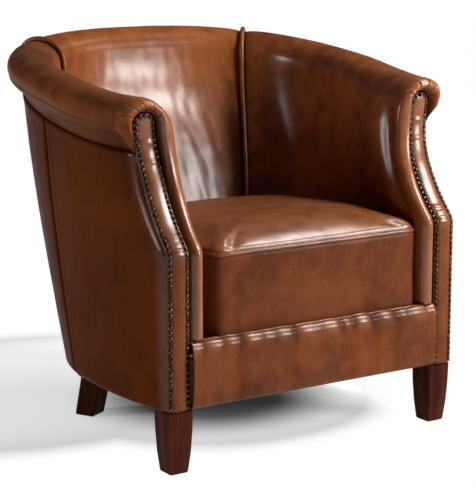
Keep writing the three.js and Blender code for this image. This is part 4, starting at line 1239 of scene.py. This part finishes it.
@dataclass
class NailRow:
    """The dome nails round one facing: up its inner edge, round the head and down its outer edge."""

    side: Side
    radius: float = 0.0048
    rise: float = 0.0036
    pitch: float = 0.0108
    line: float = 0.0175
    foot: float = 0.129
    spokes: int = 14
    seat: float = 0.0006

    def _path(self) -> Array:
        """Points along the line of nails."""
        rise = np.linspace(self.foot, TUB.arch_centre, 120)
        turn = np.linspace(HALF_TURN, 0.0, 30)[1:-1]
        middle = TUB.facing_middle(rise)
        head = TUB.facing_middle(np.array(TUB.arch_centre))
        x = np.concatenate([middle - self.line, head + self.line * np.cos(turn), (middle + self.line)[::-1]])
        z = np.concatenate([rise, TUB.arch_centre + self.line * np.sin(turn), rise[::-1]])
        y = TUB.sweep(z) - TUB.middle_depth
        return np.stack([self.side.value * x, y, z], -1)

    def _dome(self) -> tuple[Array, list]:
        """One nail head about the origin, facing +Z: its points, and its faces."""
        levels = np.radians(np.array([0.0, 22.0, 45.0, 68.0]))
        turn = np.linspace(0.0, 2 * HALF_TURN, self.spokes, endpoint=False)
        rings = [np.stack([self.radius * np.cos(turn), self.radius * np.sin(turn), np.full(self.spokes, -0.0012)], -1)]
        for level in levels:
            reach = self.radius * math.cos(level)
            height = self.rise * math.sin(level)
            rings.append(np.stack([reach * np.cos(turn), reach * np.sin(turn), np.full(self.spokes, height)], -1))
        points = np.concatenate([*rings, [[0.0, 0.0, self.rise]]])
        faces = []
        for k in range(len(rings) - 1):
            for i in range(self.spokes):
                a, b = k * self.spokes + i, k * self.spokes + (i + 1) % self.spokes
                faces.append([a, b, b + self.spokes, a + self.spokes])
        last = (len(rings) - 1) * self.spokes
        faces += [[last + i, last + (i + 1) % self.spokes, len(points) - 1] for i in range(self.spokes)]
        faces.append(list(range(self.spokes))[::-1])
        return points, faces

    def build(self) -> Object:
        """Makes the row, each head a little tilted."""
        path = self._path()
        length = np.linalg.norm(np.diff(path, axis=0), axis=1).sum()
        stations = resample(path, round(length / self.pitch) + 1)
        dome, dome_faces = self._dome()
        chance = random.Random(17 + self.side.value)
        points, faces = [], []
        for station in stations:
            slope = float(TUB.sweep(station[2] + 0.002) - TUB.sweep(station[2] - 0.002)) / 0.004
            outward = unit(np.array([chance.uniform(-0.07, 0.07), -1.0, slope + chance.uniform(-0.07, 0.07)]))
            across = unit(np.cross(np.array([0.0, 0.0, 1.0]), outward))
            axes = np.stack([across, np.cross(outward, across), outward])
            size = chance.uniform(0.96, 1.02)
            faces += [[i + len(points) * len(dome) for i in face] for face in dome_faces]
            points.append(station + outward * self.seat + size * dome @ axes)
        return mesh_object(f"nail_row_{self.side.word}", np.concatenate(points), faces)

    def dress(self, piece: Object, metal: Material) -> None:
        """Finishes the nails and puts them in place of the trim."""
        settle(piece, metal, "nail", f"nail_trim_{self.side.word}")


# Front border


@dataclass
class FrontBorder:
    """The padded band under the seat front, gathered along its upper edge, with a folded lip behind it."""

    half: float = 0.2835
    rows: int = 240
    columns: int = 72
    bottom: float = 0.1212
    gathers: int = 15

    def _profile(self) -> Array:
        """Depth and height round the band, from under the frame up its face to the seam."""
        corners = np.array([
            [0.020, self.bottom], [0.006, self.bottom], [-0.002, 0.1225], [-0.0075, 0.130], [-0.0112, 0.150],
            [-0.0128, 0.185], [-0.0120, 0.215], [-0.0088, 0.236], [-0.0042, 0.2445], [0.0008, 0.2480],
            [0.0045, 0.2470], [0.0065, 0.2430], [0.0072, 0.2360],
        ])
        smooth = resample(corners, 400)
        for _ in range(14):
            smooth[1:-1] = (smooth[:-2] + 2 * smooth[1:-1] + smooth[2:]) / 4
        return resample(smooth, self.columns)

    def _gather(self, x: Array) -> tuple[Array, Array]:
        """Puckers along the upper edge: how tightly each place is drawn in, and the swell between them."""
        chance = random.Random(5)
        spots = [lerp(-self.half, self.half, (k + 0.5 + chance.uniform(-0.48, 0.48)) / self.gathers)
                 for k in range(self.gathers)]
        drawn = sum(chance.uniform(0.2, 1.0) * hump(x, spot, chance.uniform(0.006, 0.013)) for spot in spots)
        return drawn, 1 - np.clip(sum(hump(x, spot, 0.016) for spot in spots), 0.0, 1.0)

    def build(self) -> Object:
        """Makes the band's mesh."""
        x = np.linspace(-self.half, self.half, self.rows)[:, None]
        profile = self._profile()
        y, z = profile[None, :, 0], profile[None, :, 1]
        drawn, swell = self._gather(x)
        crest = smoothstep(z, 0.205, 0.240) * smoothstep(0.0052 - y, -0.002, 0.004)
        points = np.stack(np.broadcast_arrays(x, y, z), -1)
        slow = noise_at(points, (9.0, 20.0, 10.0), 7.7)
        push = crest * (0.0010 * swell - 0.0014 * drawn) + 0.0007 * slow * smoothstep(z, 0.13, 0.16)
        grid = np.stack(np.broadcast_arrays(x, y - TUB.middle_depth, z), -1)
        grid = grid + grid_normals(grid) * push[..., None]
        marks = {
            Mark.WEAR: 0.5 * smoothstep(z, 0.215, 0.240) * smoothstep(0.004 - y, 0.0, 0.004) * (0.4 + 0.6 * swell),
            # Painted shade in the drawn-in puckers and on the band behind its seam, under the cushion.
            Mark.CREASE: 0.7 * crest * drawn + 0.8 * smoothstep(y, 0.003, 0.006) * (z > 0.2),
            Mark.POLISH: (0.25 + 0.4 * crest) * (1 - 0.75 * np.clip(drawn, 0.0, 1.0)),
        }
        return grid_object("border_hide", grid, marks)

    def build_lip(self) -> Object:
        """Makes the folded lip behind the band's seam, which waves with the gathers."""
        x = np.linspace(-self.half + 0.002, self.half - 0.002, 200)
        drawn, _ = self._gather(x)
        wave = 0.0008 * noise_at(np.stack([x, 0 * x, 0 * x], -1), 22.0, 3.3)
        path = np.stack([x, 0.0082 + 0.0008 * drawn + wave - TUB.middle_depth, 0.2462 - 0.0012 * drawn + wave], -1)
        return tube_object("border_lip", path, 0.0028, 10)

    def dress(self, band: Object, lip: Object, hide: Material) -> None:
        """Finishes the band and its lip, in place of the border's hide and padding."""
        settle(band, hide, "facing", "front_border_cover", "front_border_pad")
        settle(lip, hide, "facing", "seat_deck_pad")


# Seat cushion


@dataclass
class SeatCushion:
    """The loose boxed cushion, swollen by its filling and welted round its upper edge."""

    front: float = 0.010
    corner: float = 0.020
    corner_share: float = 0.03
    room: float = 0.006
    left_room: float = 0.021
    back_room: float = 0.010
    foot: float = 0.2375
    edge: float = 0.398
    crown: float = 0.4320
    back_fall: float = 0.3
    middle: float = 0.225
    shift: float = 0.006
    voxel: float = 0.0045
    pressure: float = 1.5
    frames: int = 20
    most_swell: float = 0.012
    welt_radius: float = 0.0036

    def _loop(self, z: float, inset: float, count: int = 150) -> Array:
        """The cushion's outline at a height: the front edge, a round corner, round the back and a second corner.

        Args:
            z: The height whose outline is taken.
            inset: Room to the inside covers.
            count: Points round the loop.

        Returns:
            Points in plan, counter-clockwise from above, from the arm-front plane.
        """
        u = np.linspace(self.corner_share, 1.0, 80)
        wall = TUB.inside_point(1 - u, np.full_like(u, z))[:, :2] + np.array([0.0, TUB.middle_depth])
        turn = np.radians(np.linspace(90, 8, 12))
        front = self.front + inset - self.room
        halves = []
        for spare in (0.0, self.left_room):
            room = inset + self.back_room * smoothstep(u, 0.5, 0.65) + spare * (1 - smoothstep(u, 0.05, 0.5))
            side = wall - TUB.inner_deck.normal(u) * room[:, None]
            start = side[0]
            corner = np.stack([
                start[0] - self.corner * (1 - np.cos(turn)),
                start[1] - (start[1] - front) * np.sin(turn),
            ], -1)
            halves.append(np.concatenate([[[0.0, front]], corner, side]))
        right, left = halves
        loop = np.concatenate([right, left[1:-1][::-1] * np.array([-1.0, 1.0]), right[:1]])
        return resample(loop, count + 1)[:-1]

    def _rings(self) -> Array:
        """Rings up the boxing and over the crown, before the filling swells them."""
        levels = [(self._loop(z, self.room + 0.002), z) for z in np.linspace(self.foot, self.edge, 24)]
        top = self._loop(self.edge, self.room + 0.003)
        for share in (0.985, 0.97, 0.95, 0.93, 0.9, 0.86, 0.8, 0.72, 0.6, 0.45, 0.3, 0.15, 0.06):
            loop = top * share + np.array([0.0, self.middle]) * (1 - share)
            fall = 1 - self.back_fall * smoothstep(loop[:, 1], 0.16, 0.40)
            levels.append((loop, lerp(self.edge, self.crown, (1 - share**7) ** 0.58 * fall)))
        rings = [np.column_stack([loop, np.broadcast_to(z, len(loop))]) for loop, z in levels]
        return np.stack(rings) + np.array([self.shift, -TUB.middle_depth, 0.0])

    def _swell(self, piece: Object, seam: KDTree) -> None:
        """Lets the filling press the hide out by a cloth simulation, held at the seam and under the cushion.

        Args:
            piece: The cushion, already remeshed.
            seam: The points of its welted seam.
        """
        before = vertices_of(piece)
        group = piece.vertex_groups.new(name="held")
        for i, point in enumerate(before):
            away = seam.find(point)[2]
            held = max(1.0 - away / 0.012, 1.0 if point[2] < self.foot + 0.012 else 0.0)
            if held > 0:
                group.add([i], min(1.0, held), "REPLACE")
        cloth = piece.modifiers.new("filling", "CLOTH")
        cloth.settings.quality = 6
        cloth.settings.tension_stiffness = 20
        cloth.settings.compression_stiffness = 20
        cloth.settings.bending_stiffness = 1.5
        cloth.settings.use_pressure = True
        cloth.settings.uniform_pressure_force = self.pressure
        cloth.settings.effector_weights.gravity = 0.0
        cloth.settings.vertex_group_mass = group.name
        cloth.collision_settings.use_collision = False
        scene = bpy.context.scene
        for number in range(1, self.frames + 1):
            scene.frame_set(number)
        after = applied(piece)
        scene.frame_set(1)
        moved = after - before
        far = np.linalg.norm(moved, axis=1, keepdims=True)
        capped = before + moved * np.minimum(1.0, self.most_swell / np.maximum(far, 1e-9))
        piece.data.vertices.foreach_set("co", capped.ravel())
        piece.vertex_groups.clear()

    def build(self) -> tuple[Object, Object]:
        """Makes the cushion and its welt."""
        piece = loft_object("seat_cushion", self._rings())
        remesh = piece.modifiers.new("remesh", "REMESH")
        remesh.mode = "VOXEL"
        remesh.voxel_size = self.voxel
        remesh.use_smooth_shade = True
        applied(piece)
        line = self._loop(self.edge, self.room + 0.0015, 300)
        line = np.column_stack([line, np.full(len(line), self.edge)]) + np.array([self.shift, -TUB.middle_depth, 0.0])
        seam = KDTree(len(line))
        for i, point in enumerate(line):
            seam.insert(point, i)
        seam.balance()
        self._swell(piece, seam)
        eased = piece.modifiers.new("ease", "SMOOTH")
        eased.factor, eased.iterations = 0.5, 12
        applied(piece)
        self._sew(piece, seam)
        return piece, self._welt(piece, line)

    def _sew(self, piece: Object, seam: KDTree) -> None:
        """Draws the hide in at the seam, adds soft creases and paints the masks, with painted shade along the seam and
        in the fold lines.
        """
        points = vertices_of(piece)
        normals = np.zeros_like(points).ravel()
        piece.data.vertices.foreach_get("normal", normals)
        normals = normals.reshape(-1, 3)
        away = np.array([seam.find(point)[2] for point in points])
        on_top = smoothstep(normals[:, 2], 0.25, 0.75)
        on_box = smoothstep(points[:, 2], self.foot + 0.01, self.foot + 0.04) * (1 - on_top)
        sat_on = hump(points[:, 1] + TUB.middle_depth, 0.20, 0.16)
        long_fold = noise_at(points, (9.0, 22.0, 1.0), 4.8)
        short_fold = noise_at(points, (26.0, 44.0, 1.0), 1.2)
        box_fold = noise_at(points, (8.0, 8.0, 16.0), 6.6)
        creases = on_top * sat_on * (0.0016 * long_fold + 0.0006 * short_fold) + 0.0011 * on_box * box_fold
        push = creases - 0.0026 * np.exp(-((away / 0.006) ** 2))
        points = points + normals * push[:, None]
        piece.data.vertices.foreach_set("co", points.ravel())
        lines = np.clip(1 - np.abs(short_fold) / 0.05, 0.0, 1.0) * on_top * sat_on
        shoulder = on_top * hump(away, 0.022, 0.014) * smoothstep(-points[:, 1] - TUB.middle_depth, -0.12, -0.03)
        marks = {
            Mark.WEAR: 0.40 * on_top + 0.35 * shoulder,
            # Painted shade along the welted seam and in the fold lines.
            Mark.CREASE: 0.75 * np.exp(-((away / 0.0045) ** 2)) + 0.12 * lines,
            Mark.POLISH: 0.08 + 0.87 * on_top,
        }
        paint(piece.data, marks, points.shape[:-1])
        piece.data.polygons.foreach_set("use_smooth", np.ones(len(piece.data.polygons), bool))
        piece.data.update()

    def _welt(self, piece: Object, line: Array) -> Object:
        """Lays the welt on the swollen cushion's seam."""
        tree = BVHTree.FromObject(piece, bpy.context.evaluated_depsgraph_get())
        laid = np.array([tree.find_nearest(Vector(point))[0] for point in line])
        outward = unit(line - np.array([self.shift, self.middle - TUB.middle_depth, self.edge - 0.25]))
        path = laid + outward * 0.0012
        for _ in range(4):
            path = (np.roll(path, 1, axis=0) + 2 * path + np.roll(path, -1, axis=0)) / 4
        return tube_object("seat_welt", path, self.welt_radius, 12, closed=True)

    def dress(self, piece: Object, welt: Object, hide: Material, welt_hide: Material) -> None:
        """Finishes the cushion and its welt, in place of the cushion's nodes."""
        nodes = ("seat_cushion_cover", "seat_cushion_core", "seat_cushion_base")
        settle(piece, hide, "hide", *nodes)
        settle(welt, welt_hide, "piping", "seat_cushion_piping")


# Legs and frame


@dataclass
class Legs:
    """Four tapered legs: the front pair square to the chair, the rear pair turned and splayed."""

    top: float = 0.1196
    front_x: float = 0.3035
    front_y: float = 0.027
    rear_x: float = 0.252
    rear_y: float = 0.400
    rear_turn: float = math.radians(28)
    splay_x: float = 0.002
    splay_y: float = 0.040
    corner: float = 0.0025
    levels: int = 18

    def _ring(self, x: float, y: float, z: float, half: float, turn: float) -> Array:
        """A square with rounded corners, turned about Z."""
        angles = np.radians(np.arange(0, 360, 15) + 7.5)
        core = half - self.corner
        flat = np.stack([
            np.sign(np.cos(angles)) * core + self.corner * np.cos(angles),
            np.sign(np.sin(angles)) * core + self.corner * np.sin(angles),
        ], -1)
        c, s = math.cos(turn), math.sin(turn)
        turned = flat @ np.array([[c, s], [-s, c]])
        return np.column_stack([turned + np.array([x, y - TUB.middle_depth]), np.full(len(angles), z)])

    def build(self, side: Side, is_front: bool) -> Object:
        """Makes one leg.

        Args:
            side: Which side it stands on.
            is_front: Whether it is a front leg.

        Returns:
            The new object.
        """
        heights = np.concatenate([[0.0, 0.0015, 0.003], np.linspace(0.008, self.top, self.levels)])
        if is_front:
            known = ((0.0, 0.003, 0.040, 0.080, self.top), (0.0175, 0.0195, 0.0234, 0.0256, 0.0265))
        else:
            known = ((0.0, 0.003, self.top), (0.0195, 0.0215, 0.0235))
        rings = []
        for z in heights:
            half = float(np.interp(z, *known))
            lean = 1 - z / self.top
            if is_front:
                rings.append(self._ring(side.value * self.front_x, self.front_y, z, half, 0.0))
            else:
                x = side.value * (self.rear_x + self.splay_x * lean)
                y = self.rear_y + self.splay_y * lean
                rings.append(self._ring(x, y, z, half, -side.value * self.rear_turn))
        end = "front" if is_front else "rear"
        leg = loft_object(f"wooden_leg_{end}_{side.word}", np.stack(rings))
        leg.data.polygons.foreach_set("use_smooth", np.zeros(len(leg.data.polygons), bool))
        bevel = leg.modifiers.new("eased edges", "BEVEL")
        bevel.width = 0.0008
        bevel.segments = 2
        bevel.limit_method = "ANGLE"
        return leg

    def dress(self, leg: Object, wood: Material) -> None:
        """Finishes a leg and puts it in place of its node."""
        settle(leg, wood, "leg", leg.name.replace("wooden_", ""))


class HiddenFrame:
    """The frame, webbing, bolts and lining inside and under the chair, which keep their own meshes."""

    words: dict[str, tuple[str, ...]] = {
        "beech": ("rail", "post", "slat", "block"),
        "webbing": ("web",),
        "steel": ("bolt",),
        "lining": ("dust_cover",),
    }

    def dress(self, finishes: dict[str, Material]) -> None:
        """Gives every node that still shows its finish.

        Args:
            finishes: Materials by the same words.
        """
        for name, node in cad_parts.items():
            if node.hide_render:
                continue
            kind = next(k for k, parts in self.words.items() if any(part in name for part in parts))
            node.data.materials.clear()
            node.data.materials.append(finishes[kind])
            LOG.info("%s: %s", name, kind)


# Studio


@dataclass(frozen=True)
class SoftBox:
    """A soft studio lamp that faces the chair."""

    name: str
    direction: tuple[float, float, float]
    distance: float
    width: float
    height: float
    power: float

    def build(self, target: Vector) -> Object:
        """Makes the lamp, aimed at a point."""
        lamp = bpy.data.lights.new(self.name, "AREA")
        lamp.shape = "ELLIPSE"
        lamp.size, lamp.size_y, lamp.energy = self.width, self.height, self.power
        held = bpy.data.objects.new(self.name, lamp)
        away = Vector(self.direction).normalized()
        held.location = target + away * self.distance
        held.rotation_euler = away.to_track_quat("Z", "Y").to_euler()
        bpy.context.scene.collection.objects.link(held)
        return held


@dataclass
class Studio:
    """Camera, pale floor, white surround and soft lamps."""

    lens: float = 127.21
    camera_place: tuple[float, float, float] = (-1.88053, -2.92531, 1.02568)
    yaw: float = 0.584948
    pitch: float = 0.194770
    ambient: float = 0.055
    target: Vector = field(default_factory=lambda: Vector((0.0, 0.0, 0.42)))
    lamps: tuple[SoftBox, ...] = (
        SoftBox("main", (0.57, -0.53, 0.63), 2.2, 0.84, 0.84, 41.0),
        SoftBox("low_front", (0.57, -0.78, 0.25), 2.8, 0.62, 0.78, 32.0),
        SoftBox("overhead", (0.56, 0.04, 0.82), 2.8, 0.67, 0.67, 19.0),
        SoftBox("left_window", (-0.93, 0.20, 0.27), 2.8, 0.68, 0.94, 19.0),
    )

    def build(self) -> None:
        """Makes the camera, lamps, floor and surround."""
        scene = bpy.context.scene
        scene.view_settings.view_transform = "Standard"
        camera = bpy.data.objects.new("camera", bpy.data.cameras.new("camera"))
        camera.data.lens = self.lens
        camera.data.sensor_width = 36.0
        camera.location = self.camera_place
        camera.rotation_euler = (HALF_TURN / 2 - self.pitch, 0.0, -self.yaw)
        scene.collection.objects.link(camera)
        scene.camera = camera
        for lamp in self.lamps:
            lamp.build(self.target)
        self._surround(scene)
        self._floor()

    def _surround(self, scene: bpy.types.Scene) -> None:
        """A dim, even world, so that the lamps and the pale floor give the light."""
        world = bpy.data.worlds.new("surround")
        world.use_nodes = True
        scene.world = world
        nodes = Nodes(world.node_tree)
        soft = nodes.add("ShaderNodeBackground", {"Color": (1.0, 1.0, 1.0, 1.0), "Strength": self.ambient})
        output = nodes.add("ShaderNodeOutputWorld")
        nodes.tree.links.new(soft.outputs[0], output.inputs["Surface"])

    def _floor(self) -> None:
        """A pale floor that keeps the chair's shadow and fades to white away from it."""
        reach = 60.0
        corners = np.array([[-reach, -reach, 0.0], [reach, -reach, 0.0], [reach, reach, 0.0], [-reach, reach, 0.0]])
        floor = mesh_object("studio_floor", corners, [[0, 1, 2, 3]])
        material, nodes, shader, place = start_material("pale_floor")
        flat = nodes.add("ShaderNodeMapping", {"Vector": place, "Scale": (1.0, 1.2, 1.0)}).outputs[0]
        behind = nodes.add("ShaderNodeVectorMath", {0: flat, 1: (-0.29, 0.396, 0.0)}, operation="DISTANCE")
        under = nodes.add("ShaderNodeVectorMath", {0: place, 1: (0.02, 0.06, 0.0)}, operation="DISTANCE")
        far = nodes.math(
            "MINIMUM",
            nodes.spread(behind.outputs["Value"], 0.38, 0.60),
            nodes.spread(under.outputs["Value"], 0.24, 0.42),
        )
        depth = nodes.add("ShaderNodeSeparateXYZ", {0: place}).outputs["Y"]
        near = nodes.math(
            "MULTIPLY",
            nodes.spread(depth, -0.10, 0.16, 0.54, 0.58),
            nodes.spread(under.outputs["Value"], 0.14, 0.32, 0.02, 1.0),
        )
        rays = nodes.add("ShaderNodeLightPath")
        seen = nodes.math("MAXIMUM", rays.outputs["Is Camera Ray"], rays.outputs["Is Glossy Ray"])
        seen = nodes.math("MAXIMUM", seen, rays.outputs["Is Transmission Ray"])
        glow = nodes.math("MULTIPLY", nodes.math("MAXIMUM", far, near), seen)
        hidden = nodes.math("MULTIPLY", far, seen)
        pale = nodes.mix(hidden, (0.88, 0.88, 0.88, 1.0), (0.0, 0.0, 0.0, 1.0))
        nodes.tree.links.new(pale, shader.inputs["Base Color"])
        nodes.tree.links.new(glow, shader.inputs["Emission Color"])
        shader.inputs["Emission Strength"].default_value = 1.0
        shader.inputs["Roughness"].default_value = 0.9
        shader.inputs["Specular IOR Level"].default_value = 0.0
        floor.data.materials.append(material)


def main() -> None:
    """Builds the studio and dresses the chair, one sub-assembly at a time."""
    logging.basicConfig(level=logging.INFO, format="%(name)s: %(message)s")
    Studio().build()
    effects = Effects()
    hide, seat_hide = HIDE.build(effects), SEAT_HIDE.build(effects)
    facing_hide, piping_hide = FACING_HIDE.build(effects), PIPING_HIDE.build(effects)
    leg_wood, nail_metal = LEG_WOOD.build(effects), NAIL_METAL.build(effects)

    for side in Side:
        arm, welt = InsideArm(side), BackPiping(side)
        arm.dress(arm.build(), hide)
        welt.dress(welt.build(), piping_hide)
        facing, nails = ArmFacing(side), NailRow(side)
        facing.dress(facing.build(), facing_hide)
        nails.dress(nails.build(), nail_metal)
    back = InsideBack()
    back.dress(back.build(), hide)
    outside = OutsideCovers()
    covers = {f"outside_arm_cover_{side.word}": outside.build_arm(side) for side in Side}
    covers["outside_back_cover"] = outside.build_back()
    outside.dress(covers, OUTER_HIDE.build(effects))
    border = FrontBorder()
    border.dress(border.build(), border.build_lip(), facing_hide)
    cushion = SeatCushion()
    cushion.dress(*cushion.build(), seat_hide, piping_hide)
    legs = Legs()
    for side in Side:
        for is_front in (True, False):
            legs.dress(legs.build(side, is_front), leg_wood)
    HiddenFrame().dress({
        "beech": BEECH_WOOD.build(effects),
        "webbing": WEBBING.build(effects),
        "steel": BOLT_METAL.build(effects),
        "lining": LINING.build(effects),
    })


if __name__ == "__main__":
    main()
